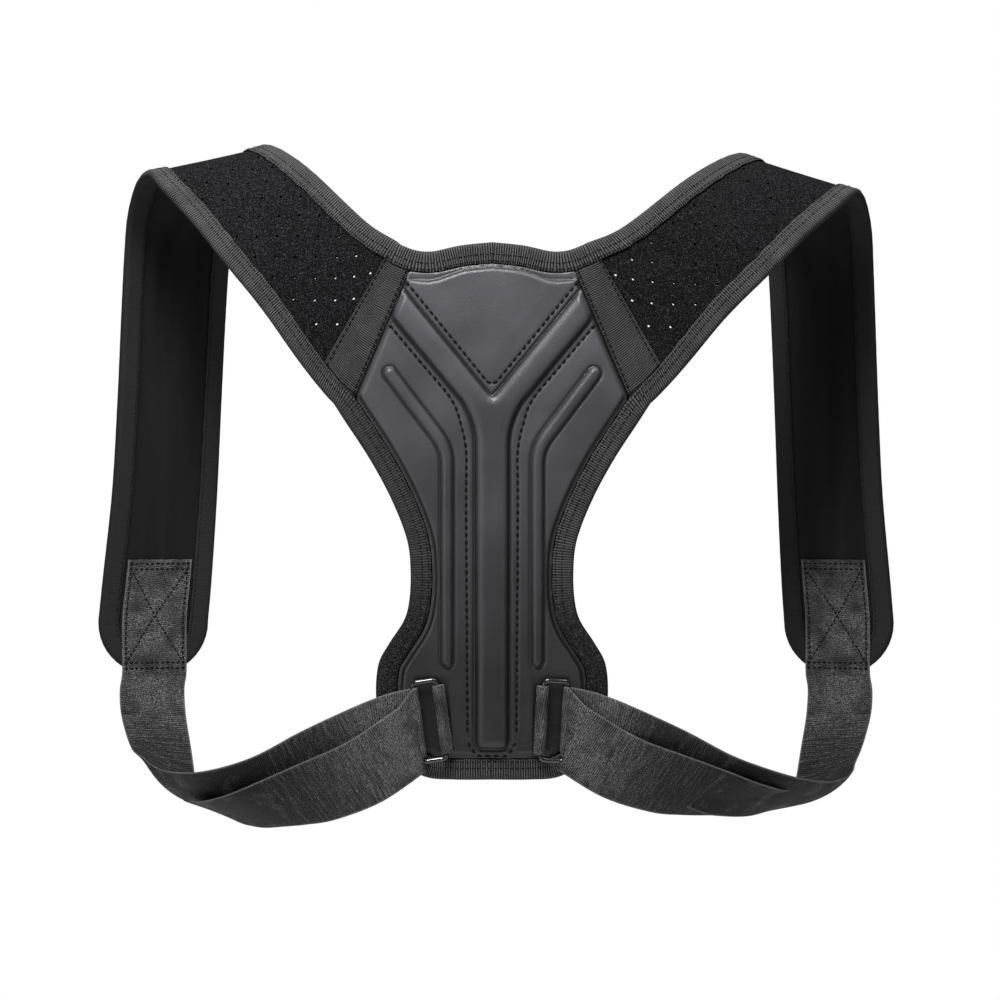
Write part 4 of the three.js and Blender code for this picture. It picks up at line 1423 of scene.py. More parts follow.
@dataclass
class BackPad:
    """The padded centre piece, its moulded panel, and the tape round every edge."""

    outline: PadOutline
    straps: tuple[StrapLine, StrapLine]
    wardrobe: Wardrobe
    stitching: Stitching
    grid: float = 0.85 * MM
    pad_grid: float = 4 * MM
    spine_half: float = 9.6 * MM
    spine_height: float = 4 * MM
    spine_low: float = -138 * MM
    spine_fork: float = 37 * MM
    arm_slope: float = 50.2
    arm_width: float = 15.3 * MM
    apex_level: float = 66 * MM
    rib_half: float = 26.1 * MM
    rib_top_half: float = 59 * MM
    rib_top: float = 79 * MM
    rib_bend: float = 38 * MM
    rib_low: float = -87 * MM
    rib_width: float = 7.5 * MM
    rib_height: float = 2.6 * MM
    rib_round: float = 9 * MM
    seam_gap: float = 5.3 * MM
    flange: float = 1.5 * MM
    flange_height: float = 1 * MM
    edge_roll: float = 2.3 * MM
    trench_depth: float = 0.55 * MM
    spine_roll: float = 6.4 * MM
    groove_depth: float = 1.1 * MM
    rib_groove_depth: float = 0.8 * MM
    seam_depth: float = 0.55 * MM
    field_puff: float = 0.7 * MM
    hollow_depth: float = 0.9 * MM
    ripple_depth: float = 0.1 * MM
    arm_pile: tuple[float, float] = (0.5, 0.12)

    def arm_directions(self) -> tuple[Array, Array]:
        """Gives the directions along and square to the raised Y's arm on the +X side."""
        slope = math.radians(self.arm_slope)
        forward = np.array([math.cos(slope), math.sin(slope)])
        return forward, np.array([forward[1], -forward[0]])

    def spine_outline(self) -> Array:
        """Gives the raised Y's closed outline."""
        forward, square = self.arm_directions()
        reach = 110 * MM
        inner = np.array([0, self.apex_level])
        outer = inner + square * self.arm_width
        fork = outer + forward * ((self.spine_half * 1.8 - outer[0]) / forward[0])
        round_low = self.spine_half * 0.6
        bend = (fork[1] + self.spine_fork) / 2
        hips = np.array([fork, (self.spine_half, bend), (self.spine_half, self.spine_fork)])
        foot = np.array(
            [
                (self.spine_half, self.spine_low + round_low),
                (self.spine_half, self.spine_low),
                (self.spine_half - round_low, self.spine_low),
            ]
        )
        notch = self.apex_level + np.array([[0, 0], [1.2, 0.45], [3.2, 2.6]]) * MM
        notch[:, 0] -= self.apex_level
        arm = [inner + forward * reach, outer + forward * reach]
        half = np.vstack([notch, *arm, soft_bend(*hips, 9), soft_bend(*foot, 9)])
        return np.vstack([half, mirror_points(half[1:][::-1])])

    def rib_line(self) -> Array:
        """Gives a side rib's middle line, bent softly."""
        top = np.array([self.rib_top_half, self.rib_top])
        elbow = np.array([self.rib_half + self.rib_width, self.rib_bend + self.rib_width])
        rise = unit(top - elbow)
        corner = elbow - rise * (elbow[0] - self.rib_half) / rise[0]
        low = np.array([self.rib_half, self.rib_low])
        first, last = corner + rise * self.rib_round, corner + np.array([0, -self.rib_round])
        return np.vstack([top, soft_bend(first, corner, last, 12), low])

    def seam_lines(self) -> list[Array]:
        """Gives the panel's stitch lines as x and z: the V, the two long sides, and the foot's arc."""
        forward, square = self.arm_directions()
        top = self.apex_level + 7.4 * MM
        v_line = np.array([[1.5 * MM, top], [4 * MM, top + 2.4 * MM], [48.8 * MM, top + 57.5 * MM]])
        v_full = np.vstack([mirror_points(v_line[::-1]), v_line])
        outer = np.array([0, self.apex_level]) + square * (self.arm_width + self.seam_gap * 0.75)
        along = [outer + forward * d for d in (68 * MM, 40 * MM, 14 * MM)]
        side_x = self.spine_half + self.seam_gap
        side = smooth_rows(
            np.array(
                [
                    *along,
                    [side_x + 3.2 * MM, self.spine_fork + 13 * MM],
                    [side_x, self.spine_fork - 4 * MM],
                    [side_x, 0],
                    [side_x - 0.8 * MM, -127 * MM],
                ]
            ),
            8,
        )
        turns = np.linspace(0.12, 0.88, 17) * math.pi
        foot = np.stack([14.2 * MM * np.cos(turns), -130 * MM - 14.5 * MM * np.sin(turns)], axis=1)
        return [v_full, side, mirror_points(side), foot]

    def crest_line(self, x: Array) -> Array:
        """Gives the level at which the moulded field ends below the neck."""
        places = np.array([0, 11, 22, 31, 37, 44, 52]) * MM
        levels = np.array([141.6, 140.9, 137.2, 134.0, 132.9, 133.2, 134.2]) * MM
        return np.interp(np.abs(x), places, levels)

    def relief(self, places: Array) -> tuple[Array, Array]:
        """Gives the moulded panel's height above its back, and how far each place stands proud, which only
        sets the painted shade.

        Args:
            places: Points as x and z.

        Returns:
            Heights in metres, and a value near 1 on crowns and below 0 in grooves and hollows, where it
            paints shade and shadow.
        """
        s = SIZES
        line = self.outline.panel()
        edge = signed_inside(places, line)
        x, z = places[:, 0], places[:, 1]
        by_band = np.abs(
            (np.abs(x) - self.outline.neck_corner[0]) * self.outline.joint_out[0]
            + (z - self.outline.neck_corner[1]) * self.outline.joint_out[1]
        )
        near_band = 1 - ease(s.band_width / 2 + 0.8 * MM, s.band_width / 2 + 3.5 * MM, by_band)
        near_band *= z > s.corner_level
        rim = self.flange * (1 - near_band)
        field_edge = np.minimum(edge - rim, (self.crest_line(x) - z) * 0.92)
        raised = s.panel + 0.5 * MM - self.flange_height
        roll = np.clip(field_edge / self.edge_roll, 0, 1)
        height = self.flange_height + raised * np.sqrt(1 - (1 - roll) ** 2)
        trench = dip(field_edge - 0.4 * MM, 0.95 * MM)
        # Painted shade: a dark line along the trench at the field's edge.
        proud = 0.55 - 1.5 * trench
        height -= self.trench_depth * trench * (1 - near_band)

        y_edge = signed_inside(places, self.spine_outline())
        inside_y = np.clip(y_edge / self.spine_roll, 0, 1)
        inside_field = ease(0, 3 * MM, field_edge)
        height += self.spine_height * np.sqrt(1 - (1 - inside_y) ** 2) * inside_field
        groove = dip(y_edge + 0.5 * MM, 1.15 * MM)
        height -= self.groove_depth * groove * inside_field
        # Painted shade in the grooves beside the raised Y.
        proud += 0.4 * inside_y - 1.5 * groove

        rib = np.minimum(
            distance_to_line(places, self.rib_line()),
            distance_to_line(places, mirror_points(self.rib_line())),
        )
        across = np.clip(rib / (self.rib_width / 2), 0, 1)
        height += self.rib_height * (1 - across**2) ** 0.7
        beside = dip(rib - self.rib_width / 2 - 0.4 * MM, 1 * MM)
        height -= self.rib_groove_depth * beside
        # Painted shade in the grooves beside the side ribs.
        proud += 0.4 * (1 - across) - 1.25 * beside

        seams = np.min([distance_to_line(places, seam) for seam in self.seam_lines()], axis=0)
        pulled = dip(seams, 1.1 * MM)
        height -= self.seam_depth * pulled * inside_field
        # Painted shade along the stitched seams.
        proud -= 0.35 * pulled
        puffed = ease(1 * MM, 12 * MM, seams) * inside_field * (y_edge < 0)
        height += self.field_puff * puffed

        for sign in (-1, 1):
            middle = np.array([sign * (s.ring_half + 5 * MM), s.ring_level])
            near = np.abs(places - middle) / np.array([10.5 * MM, 25 * MM])
            hollow = 1 - ease(0.75, 1.1, np.max(near, axis=1))
            height -= self.hollow_depth * hollow * (y_edge < 0)
            # Painted shadow in the hollow under each ring.
            proud -= 4 * hollow * (y_edge < 0)
        ripple = np.sin(x * 210 + z * 95) * np.sin(z * 170 - x * 60)
        height += self.ripple_depth * ripple * inside_field
        return np.maximum(height, 0.3 * MM), proud

    def build_panel(self) -> Piece:
        """Builds the moulded panel from its relief."""
        s = SIZES
        line = spaced(self.outline.panel(), self.grid, closed=True)
        points, quads, rim = flat_grid(line, self.grid)
        height, proud = self.relief(points)
        # The third value carries the relief's painted shade into the material.
        way = np.stack([points[:, 0], points[:, 1], proud], axis=1)
        back = np.full(len(points), s.panel_back)
        made = plate_between(
            "moulded_panel", points, quads, rim, s.panel_back + height, back, self.wardrobe.leatherette, way
        )
        return finish_piece(made, Slot.LEATHERETTE, "back_panel")

    def build_pad(self) -> Piece:
        """Builds the pad, whose wearer's face swells between its seams."""
        s = SIZES
        line = spaced(self.outline.closed(), self.pad_grid, closed=True)
        points, quads, rim = flat_grid(line, self.pad_grid)
        count = len(points)
        edge = np.abs(signed_inside(points, line))
        thin = 0.35 * MM * (1 - ease(0, 9 * MM, edge))
        made = plate_between(
            "padded_back",
            points,
            quads,
            rim,
            np.full(count, s.sheet) - thin,
            thin,
            self.wardrobe.velour,
            fill_back=True,
        )
        seams = np.min([distance_to_line(points, seam) for seam in self.seam_lines()], axis=0)
        free = (edge > s.tape_flap - 1 * MM) & (seams > 0.7 * self.pad_grid)
        self.swell(made, free, count)
        soften = made.modifiers.new("soften", "SUBSURF")
        soften.levels = soften.render_levels = 1
        finish_piece(made, Slot.VELOUR, "back_pad")
        return made

    @staticmethod
    def swell(made: Piece, free: Array, count: int) -> None:
        """Lets pressure swell the wearer's face of the pad, held at its seams and edges.

        Args:
            made: The pad, whose outer points come first.
            free: Which points of a face may move.
            count: How many points a face has.
        """
        cap = 2.6 * MM
        rest = np.array([tuple(v.co) for v in made.data.vertices])
        pins = made.vertex_groups.new(name="held")
        held = list(range(count)) + (np.flatnonzero(~free) + count).tolist()
        pins.add(held, 1.0, "REPLACE")
        cloth = made.modifiers.new("swell", "CLOTH")
        cloth.settings.vertex_group_mass = "held"
        cloth.settings.use_pressure = True
        cloth.settings.uniform_pressure_force = 4.0
        cloth.settings.effector_weights.gravity = 0.0
        scene = bpy.context.scene
        for step in range(1, 21):
            scene.frame_set(step)
        depsgraph = bpy.context.evaluated_depsgraph_get()
        found = made.evaluated_get(depsgraph).to_mesh()
        moved = np.array([tuple(v.co) for v in found.vertices])
        made.evaluated_get(depsgraph).to_mesh_clear()
        made.modifiers.remove(cloth)
        made.vertex_groups.remove(pins)
        scene.frame_set(1)
        change = moved - rest
        far = np.linalg.norm(change, axis=1, keepdims=True)
        change *= np.minimum(1, cap / np.maximum(far, 1e-9))
        change[:count] = 0
        log.info("padded_back swells by up to %.1f mm", float(far.max()) / MM)
        made.data.vertices.foreach_set("co", (rest + change).astype(np.float32).ravel())
        made.data.update()

    def pad_route(
        self, line: Array, corner: Array, corner_out: Array, wear_and_painted_light: float | None = None
    ) -> Route:
        """Gives the tape's route along one edge of the pad, on the +X side.

        Args:
            line: The edge's points.
            corner: The corner at which a strap joins.
            corner_out: The direction that the tape looks at that corner.
            wear_and_painted_light: How far the ribs have turned to pile above the waist, a change in the
                cloth itself; without it there is no pile.

        Returns:
            The route.
        """
        s = SIZES
        square = self.outline.squares(line)
        share = 1 - ease(0, 1.5 * s.tape_flap, np.linalg.norm(line - corner, axis=1))
        flat = square + (corner_out - square) * share[:, None]
        out = unit(np.stack([flat[:, 0], np.zeros(len(line)), flat[:, 1]], axis=1))
        place = np.stack([line[:, 0], np.full(len(line), -s.sheet / 2), line[:, 1]], axis=1)
        normal = np.repeat(OUTWARDS[None], len(line), axis=0)
        pile = np.zeros(len(line))
        if wear_and_painted_light is not None:
            by_corner = ease(0, 12 * MM, np.linalg.norm(line - corner, axis=1))
            pile = wear_and_painted_light * by_corner + (1 - wear_and_painted_light) * ease(-25 * MM, -70 * MM, line[:, 1])
            pile *= 1 - ease(-146 * MM, -153 * MM, line[:, 1])
        return Route(place, out, normal, pile)

    @staticmethod
    def strap_route(strap: StrapLine) -> Route:
        """Gives the tape's route down a strap's neck side, round its end and up its arm side."""
        grid = strap.grid(5)
        normals = grid_normals(grid) * strap.side.sign
        runs = []
        for column, sign in ((-1, 1), (0, -1)):
            out = strap.across * (sign * np.cos(strap.turn))[:, None] + DOWN * np.sin(strap.turn)[:, None]
            # -1 makes the tape's wearer face plain and darker, partly painted shade.
            pile = np.full(len(out), -1.0)
            runs.append(cut_route(Route(grid[:, column], out, normals[:, column], pile), 1))
        return join_routes([runs[0], reverse_route(runs[1])])

    def tape_route(self) -> Route:
        """Gives the tape's whole closed route."""
        outline = self.outline
        neck = self.pad_route(outline.neck, outline.neck_corner, outline.joint_along)
        down = -outline.joint_along
        arms = [self.pad_route(outline.arm, outline.arm_corner, down, wear_and_painted_light) for wear_and_painted_light in self.arm_pile]
        left, right = [self.strap_route(strap) for strap in self.straps]
        return join_routes(
            [
                cut_route(flip_route(arms[0]), 1),
                reverse_route(left),
                flip_route(neck),
                cut_route(neck, 1),
                right,
                arms[1],
            ]
        )

    @staticmethod
    def tape_section() -> Array:
        """Gives the folded tape's section, as distances beyond the sheet's edge and above its middle."""
        s = SIZES
        outer, inner = s.tape_outer, s.sheet / 2 + s.tape_lift
        tip = s.clearance + s.tape
        turns = np.linspace(90, -90, 9) * math.pi / 180
        fold = [[tip - 2.4 * MM + 2.4 * MM * math.cos(t), outer * math.sin(t)] for t in turns]
        flap = [-9.5, -7.5, -5, -3]
        top = [[f * MM, outer + 0.05 * MM * math.sin(i * 2.1)] for i, f in enumerate(flap)]
        end = [[0.2 * MM - s.tape_flap, outer - 0.06 * MM], [-s.tape_flap - 0.05 * MM, (outer + inner) / 2]]
        low = [[-s.tape_flap + 0.15 * MM, inner], [0, inner - 0.2 * MM]]
        upper = end[::-1] + top + fold[:4]
        lower = [[a, -b] for a, b in reversed(upper)]
        middle = [fold[4]]
        inside_face = [[a, -b] for a, b in low] + [[a, b] for a, b in reversed(low)]
        return np.array(upper + middle + lower + inside_face)

    def build_tape(self) -> Piece:
        """Builds the tape, folded round every edge in one closed loop."""
        route = self.tape_route()
        section = self.tape_section()
        along = lengths_along(np.vstack([route.place, route.place[:1]]))[:-1]
        pucker = 0.22 * MM * np.sin(along * 410) + 0.16 * MM * np.sin(along * 1130 + 1.7)
        breath = 0.1 * MM * np.sin(along * 640 + 0.6)
        beyond = section[None, :, 0] + pucker[:, None] * (section[None, :, 0] < -10 * MM)
        above = section[None, :, 1] + breath[:, None] * np.sign(section[None, :, 1])
        points = (
            route.place[:, None, :]
            + route.out[:, None, :] * beyond[:, :, None]
            + route.normal[:, None, :] * above[:, :, None]
        )
        around = lengths_along(section)
        ways = np.zeros(points.shape)
        ways[:, :, 0] = around[None, :]
        ways[:, :, 1] = along[:, None]
        inner_face = section[None, :, 1] < 0.2 * MM
        ways[:, :, 2] = np.where((route.pile[:, None] < 0) & ~inner_face, 0, route.pile[:, None])
        made = loft("edge_tape", points, ways, self.wardrobe.tape, closed=True)
        finish_piece(made, Slot.GROSGRAIN, "edge_binding")
        return made

    def sew(self) -> None:
        """Sews the panel and the tape."""
        s = SIZES
        lines = []
        for seam in self.seam_lines():
            seam = spaced(seam, 1 * MM)
            keep = signed_inside(seam, self.outline.panel()) > 1 * MM
            seam = seam[keep]
            height, _ = self.relief(seam)
            depth = s.panel_back + height + 0.2 * MM
            lines.append(np.stack([seam[:, 0], -depth, seam[:, 1]], axis=1))
        self.stitching.sew(
            "panel_stitches",
            lines,
            Slot.LEATHERETTE,
            self.wardrobe.black_thread,
            pitch=4.3 * MM,
            thread=1.6 * MM,
        )
        route = self.tape_route()
        lines = []
        for face, inset in ((1, 1.5 * MM), (1, 5.2 * MM), (-1, 1.5 * MM)):
            above = face * (s.tape_outer + 0.05 * MM)
            line = route.place - route.out * (s.tape_flap - inset) + route.normal * above
            lines.append(np.vstack([line, line[:1]]))
        self.stitching.sew(
            "tape_stitches",
            lines,
            Slot.GROSGRAIN,
            self.wardrobe.black_thread,
            pitch=3.2 * MM,
            thread=0.6 * MM,
        )


@dataclass
class ShoulderStrap:
    """One padded strap with its perforations, and the band over its joint."""

    strap: StrapLine
    outline: PadOutline
    wardrobe: Wardrobe
    trees: Trees
    stitching: Stitching
    columns: int = 19
    puff: float = 0.55 * MM
    hole_radius: float = 0.8 * MM
    hole_pitch: float = 16.8 * MM
    hole_row_gap: float = 8.8 * MM
    hole_rows: int = 6
    hole_start: float = 14.5 * MM
    band_tuck: float = 2.4 * MM
    band_dip: float = 0.75 * MM

    def holes(self) -> Piece:
        """Gives a mesh of loose points, one for each hole, that know the way through the strap."""
        end = self.strap.ridge_distance() - self.hole_pitch
        places, facing = [], []
        for row in range(self.hole_rows):
            beside = (row - (self.hole_rows - 1) / 2) * self.hole_row_gap
            distance = self.hole_start + ((row + 1) % 2) * self.hole_pitch / 2
            while distance < end:
                centre, across, _, normal = self.strap.at(distance)
                places.append(centre + across * beside)
                facing.append(normal)
                distance += self.hole_pitch
        name = self.strap.side.name + "_hole_places"
        return new_object(name, np.array(places), [], self.wardrobe.velour, np.array(facing))

    def build_strap(self) -> Piece:
        """Builds the padded strap and punches its holes."""
        s = SIZES
        strap = self.strap
        share = np.linspace(-1, 1, self.columns)
        centre = strap.centre
        keep = np.concatenate([[True], np.diff(strap.along) > 0.2 * MM])
        grid = strap.grid(self.columns)[keep]
        into = self.outline.joint_out * np.array([strap.side.sign, 1]) * 1.8 * s.clearance
        grid[0] -= np.array([into[0], 0, into[1]])
        normals = grid_normals(grid)
        open_half = 1 - s.tape_flap / (s.strap_width / 2)
        crown = self.puff * np.clip(1 - (share / open_half) ** 2, 0, 1) ** 0.5
        half = s.sheet / 2 + crown
        edge = np.abs(share) > 0.999
        half = np.where(edge, half - 0.5 * MM, half)
        top = grid + normals * half[None, :, None]
        low = grid - normals * half[None, :, None]
        sections = np.concatenate([top, low[:, ::-1]], axis=1)
        ways = np.zeros(sections.shape)
        made = loft(strap.side.name + "_strap_blank", sections, ways, self.wardrobe.velour, closed=False)
        holes = self.holes()
        values = {
            "Places": holes,
            "Radius": self.hole_radius,
            "Depth": 4 * s.sheet,
            "Material": self.wardrobe.velour,
        }
        name = strap.side.name + "_padded_strap"
        made = bake_nodes(made, self.trees.perforations, values, name)
        bpy.data.objects.remove(holes, do_unlink=True)
        self.line_inside(made)
        sharpen(made, 50)
        finish_piece(made, Slot.VELOUR, strap.side.name + "_shoulder_strap")
        log.info("%s runs %.0f mm", name, float(lengths_along(centre)[-1]) / MM)
        return made

    def line_inside(self, made: Piece) -> None:
        """Gives the faces on the wearer's side of the strap their smooth dark cloth, which partly paints
        their shade.
        """
        strap = self.strap
        made.data.materials.append(self.wardrobe.lining_and_painted_shade)
        outer = unit(np.cross(np.gradient(strap.centre, axis=0), strap.across)) * strap.side.sign
        centres = np.array([tuple(face.center) for face in made.data.polygons])
        normals = np.array([tuple(face.normal) for face in made.data.polygons])
        nearest = np.argmin(((centres[:, None, :] - strap.centre[None]) ** 2).sum(axis=2), axis=1)
        inner = (normals * outer[nearest]).sum(axis=1) < -0.5
        made.data.polygons.foreach_set("material_index", inner.astype(np.int32))

    def band_rails(self) -> tuple[Array, Array, Array]:
        """Gives the band's ends at its inner edge, over the joint and at its outer edge, as x and z."""
        s, outline = SIZES, self.outline
        margin = s.tape_flap + 2 * s.clearance
        sign = np.array([self.strap.side.sign, 1.0])
        inner = outline.joint_ends(-s.band_width / 2, s.band_neck_inset, s.band_arm_inset)
        over = outline.joint_ends(0, margin, margin)
        centre, across, half, _ = self.strap.at(s.band_width / 2)
        ends = [centre + across * (half - margin), centre - across * (half - margin)]
        outer = np.array([[end[0], end[2]] for end in ends])
        return inner * sign, over * sign, outer

    def band_line(self, share: float, lift: float) -> Array:
        """Gives a line along the band at a share of its width, whose ends dip under the tape."""
        s = SIZES
        inner, over, outer = self.band_rails()
        ends = mix(inner, over, share * 2) if share < 0.5 else mix(over, outer, share * 2 - 1)
        tuck = self.band_tuck / float(np.linalg.norm(ends[1] - ends[0]))
        middle = np.linspace(0, 1, 36)
        t = np.concatenate([[-tuck, -0.02 * tuck], middle, [1 + 0.02 * tuck, 1 + tuck]])[:, None]
        line = ends[0] + (ends[1] - ends[0]) * t
        under = self.band_dip * ((t[:, 0] < 0) | (t[:, 0] > 1))
        depth = s.panel_back + s.band + lift - under
        return np.stack([line[:, 0], -depth, line[:, 1]], axis=1)

    def build_band(self) -> Piece:
        """Builds the ribbed band over the joint."""
        s = SIZES
        shares = np.array([0, 0.04, 0.12, 0.3, 0.5, 0.7, 0.88, 0.96, 1])
        drop = np.array([0.45, 0.08, 0, 0, 0, 0, 0, 0.08, 0.45]) * MM
        top = np.stack([self.band_line(share, -d) for share, d in zip(shares, drop)], axis=1)
        low = top.copy()
        low[:, :, 1] = -s.panel_back
        sections = np.concatenate([top, low[:, ::-1]], axis=1)
        ways = np.zeros(sections.shape)
        across = lengths_along(top[20])
        ways[:, :, 0] = np.concatenate([across, across[::-1]])[None, :]
        ways[:, :, 1] = lengths_along(top[:, 4])[:, None]
        made = loft(self.strap.side.name + "_band", sections, ways, self.wardrobe.band, closed=False)
        sharpen(made, 40)
        finish_piece(made, Slot.GROSGRAIN, self.strap.side.name + "_cross_band")
        return made

    def sew(self) -> None:
        """Sews the band down along its two edges."""
        lines = [self.band_line(share, 0.05 * MM) for share in (0.07, 0.93)]
        name = self.strap.side.name + "_band_stitches"
        self.stitching.sew(name, lines, Slot.GROSGRAIN, self.wardrobe.black_thread)


@dataclass
class Webbing:
    """One webbing with its patch, its ring, and the fold that holds the ring."""

    strap: StrapLine
    wardrobe: Wardrobe
    trees: Trees
    stitching: Stitching
    steps: int = 6
    fold_tail: float = 4 * MM
    # Third way values of the webbing: how much wearing it shows, which also sets its painted glints; the
    # hanging part is made lighter.
    wear_and_glint_reach: float = 110 * MM
    patch_wear_and_glint: float = 0.7
    hanging_lightening_and_glint: float = 0.85

    def ring_frame(self) -> tuple[Array, Array, Array]:
        """Gives the ring's centre and its directions up along its long bars and outwards."""
        s, side = SIZES, self.strap.side
        tilt = math.radians(side.tilt * s.ring_tilt)
        up = np.array([side.sign * math.sin(tilt), 0, math.cos(tilt)])
        out = np.array([side.sign * math.cos(tilt), 0, -math.sin(tilt)])
        centre = np.array([side.sign * (s.ring_half + s.ring_span / 2), -s.ring_depth, s.ring_level])
        return centre, up, out

    def patch_row(self, level: float) -> list[float]:
        """Gives the webbing's row where it is sewn to the strap's inner face."""
        s = SIZES
        full = self.strap.full_level
        centre, across = self.strap.at_level(level)
        face = unit(np.cross(DOWN, across)) * -self.strap.side.sign
        over_tape = 1 - float(ease(full - s.tape_flap, full + s.tape_flap, np.array(level)))
        below = mix(s.sheet / 2 + 0.35 * MM, s.tape_outer, over_tape)
        place = centre + face * (below + s.clearance + s.web / 2)
        return [place[0], place[1], level, 0, math.degrees(math.asin(across[1])), 0]

    def way(self) -> tuple[Array, Array, Array, int]:
        """Gives the webbing's middle line, width directions and cup, and how many rows the patch has."""
        s, side, end_level = SIZES, self.strap.side, self.strap.end_level
        centre, up, out = self.ring_frame()
        bar = centre + out * s.ring_span / 2
        wrap = s.wire_radius + s.clearance + s.web / 2
        behind, before = bar - OUTWARDS * wrap, bar + OUTWARDS * wrap
        start = self.patch_row(end_level)

        def free_row(row: WebRow, end: Array, level: float) -> list[float]:
            """Gives a row between the strap's end and the ring's bar."""
            x, y = mix(start[0], end[0], row.inward), mix(start[1], end[1], row.forward)
            slope = row.slope * mix(1, side.twist, row.cup)
            return [x, y, level - side.sag * s.turn_sag * row.cup, slope, row.swing, row.cup]

        patch = [self.patch_row(end_level + share * s.patch_length) for share in (1, 0.75, 0.5, 0.25, 0)]
        turn = [free_row(row, behind, mix(end_level, s.turn_level, row.level)) for row in TURN_ROWS]
        ring_row = WebRow(1, 1, 1, side.tilt * s.ring_tilt - 90, 0, 0)
        near = []
        for row in (*NEAR_ROWS, ring_row):
            near.append(free_row(row, behind, mix(s.turn_level, bar[2], row.level)))
        tail = []
        for row in TAIL_ROWS:
            level = mix(s.turn_level, bar[2], row.level) + side.lift * s.tail_lift * (1 - row.inward)
            tail.append(free_row(row, before, level))
        first = smooth_rows(np.array(patch + turn + near), self.steps)
        last = smooth_rows(np.array(tail), self.steps)
        turns = np.linspace(0, math.pi, 14)[1:]
        cos, sin = np.cos(turns)[:, None], np.sin(turns)[:, None]
        bend = bar - OUTWARDS * wrap * cos - out * wrap * sin
        centres = np.vstack([first[:, :3], bend, last[:, :3]])
        across = np.vstack(
            [
                across_direction(side, first[:, 3], first[:, 4]),
                np.repeat(-up[None], len(bend), axis=0),
                across_direction(side, last[:, 3], last[:, 4]),
            ]
        )
        cup = np.concatenate([first[:, 5], np.zeros(len(bend)), last[:, 5]]) * s.web_cup
        return centres, across, cup, 4 * self.steps

    def build_webbing(self) -> Piece:
        """Builds the webbing from its patch round to its free end."""
        s = SIZES
        centres, across, cup, rows = self.way()
        by_ring = np.linalg.norm(centres - self.ring_frame()[0], axis=1)
        # The third way value lightens the cloth and places its painted glints, most near the ring.
        wear_and_glint = 1 - ease(30 * MM, self.wear_and_glint_reach, by_ring)
        level = centres[: len(centres) // 2, 2]
        hanging = ease(s.turn_level, s.turn_level + 45 * MM, level)
        hanging = hanging * (by_ring[: len(level)] > self.wear_and_glint_reach)
        wear_and_glint[: len(level)] = np.maximum(wear_and_glint[: len(level)], self.hanging_lightening_and_glint * hanging)
        wear_and_glint[: rows + 1] = self.patch_wear_and_glint
        name = self.strap.side.name + "_web"
        crown = self.strap.side.sign * cup
        made = ribbon(name, centres, across, s.web_width, s.web, self.wardrobe.webbing, wear_and_glint, crown)
        return self.report_sheet(made, "webbing")

    def report_sheet(self, made: Piece, node: str) -> Piece:
        """Puts a piece of webbing on the body, logs it with the webbing slot, and hides its solid."""
        side = self.strap.side.name
        finish_piece(made, Slot.WEBBING, f"{side}_{node}")
        return made

    def build_ring(self) -> Piece:
        """Builds the wire ring."""
        s = SIZES
        centre, up, out = self.ring_frame()
        name = self.strap.side.name + "_wire_ring"
        host = new_object(name + "_start", np.zeros((1, 3)), [], self.wardrobe.wire)
        values = {
            "Width": s.ring_span,
            "Height": s.web_width + 2 * s.clearance + 2 * s.ring_corner,
            "Corner": s.ring_corner,
            "Wire": s.wire_radius,
            "Material": self.wardrobe.wire,
        }
        made = bake_nodes(host, self.trees.ring, values, name)
        turn = Matrix((Vector(out), Vector(up), Vector(np.cross(out, up)))).transposed().to_4x4()
        made.data.transform(Matrix.Translation(Vector(centre)) @ turn)
        outward(made)
        return finish_piece(made, Slot.WIRE, self.strap.side.name + "_ring")

    def build_fold(self) -> Piece:
        """Builds the webbing fold round the ring's inner bar."""
        s = SIZES
        centre, up, out = self.ring_frame()
        bar = centre - out * s.ring_span / 2
        round_way = s.wire_radius + s.clearance + s.web / 2
        floor = -(s.ring_depth - s.panel_front) + s.clearance + s.web / 2
        turns = np.linspace(-90, -270, 15) * math.pi / 180
        loop = [[round_way * math.cos(t), round_way * math.sin(t)] for t in turns]
        tail = self.fold_tail
        low_tail = [[tail, floor], [tail * 0.7, floor + 0.02 * MM], [tail * 0.4, floor + 0.25 * MM]]
        top_tail = [
            [tail * 0.36, round_way * 0.62],
            [tail * 0.66, floor + 2.3 * MM],
            [tail, floor + 1.45 * MM],
        ]
        line = smooth_rows(np.array(low_tail + loop + top_tail), 2)
        centres = bar - out * line[:, :1] + OUTWARDS * line[:, 1:]
        across = np.repeat(up[None], len(centres), axis=0)
        name = self.strap.side.name + "_fold"
        # The fold takes the full value, so it gets the most painted glints.
        width, wear_and_glint = s.web_width - 2 * s.clearance, np.ones(len(centres))
        made = ribbon(name, centres, across, width, s.web, self.wardrobe.webbing, wear_and_glint)
        return self.report_sheet(made, "anchor_loop")

    def sew(self) -> None:
        """Sews the patch with a box, a second row at each end, and a cross."""
        s = SIZES
        centres, across, _, rows = self.way()
        face = unit(np.cross(np.gradient(centres, axis=0), across)) * -self.strap.side.sign
        along = lengths_along(centres)
        inset, lift = 2.4 * MM, s.web / 2 + 0.05 * MM
        reach = s.web_width / 2 - inset

        def point(distance: float, beside: float) -> Array:
            """Gives a point on the patch's face."""
            middle, wide, out = [value_at(distance, along, values) for values in (centres, across, face)]
            return middle + wide * beside + out * lift

        def run(a: tuple[float, float], b: tuple[float, float]) -> Array:
            """Gives a straight run on the patch between two places."""
            shares = np.linspace(0, 1, 30)
            return np.array([point(mix(a[0], b[0], t), mix(a[1], b[1], t)) for t in shares])

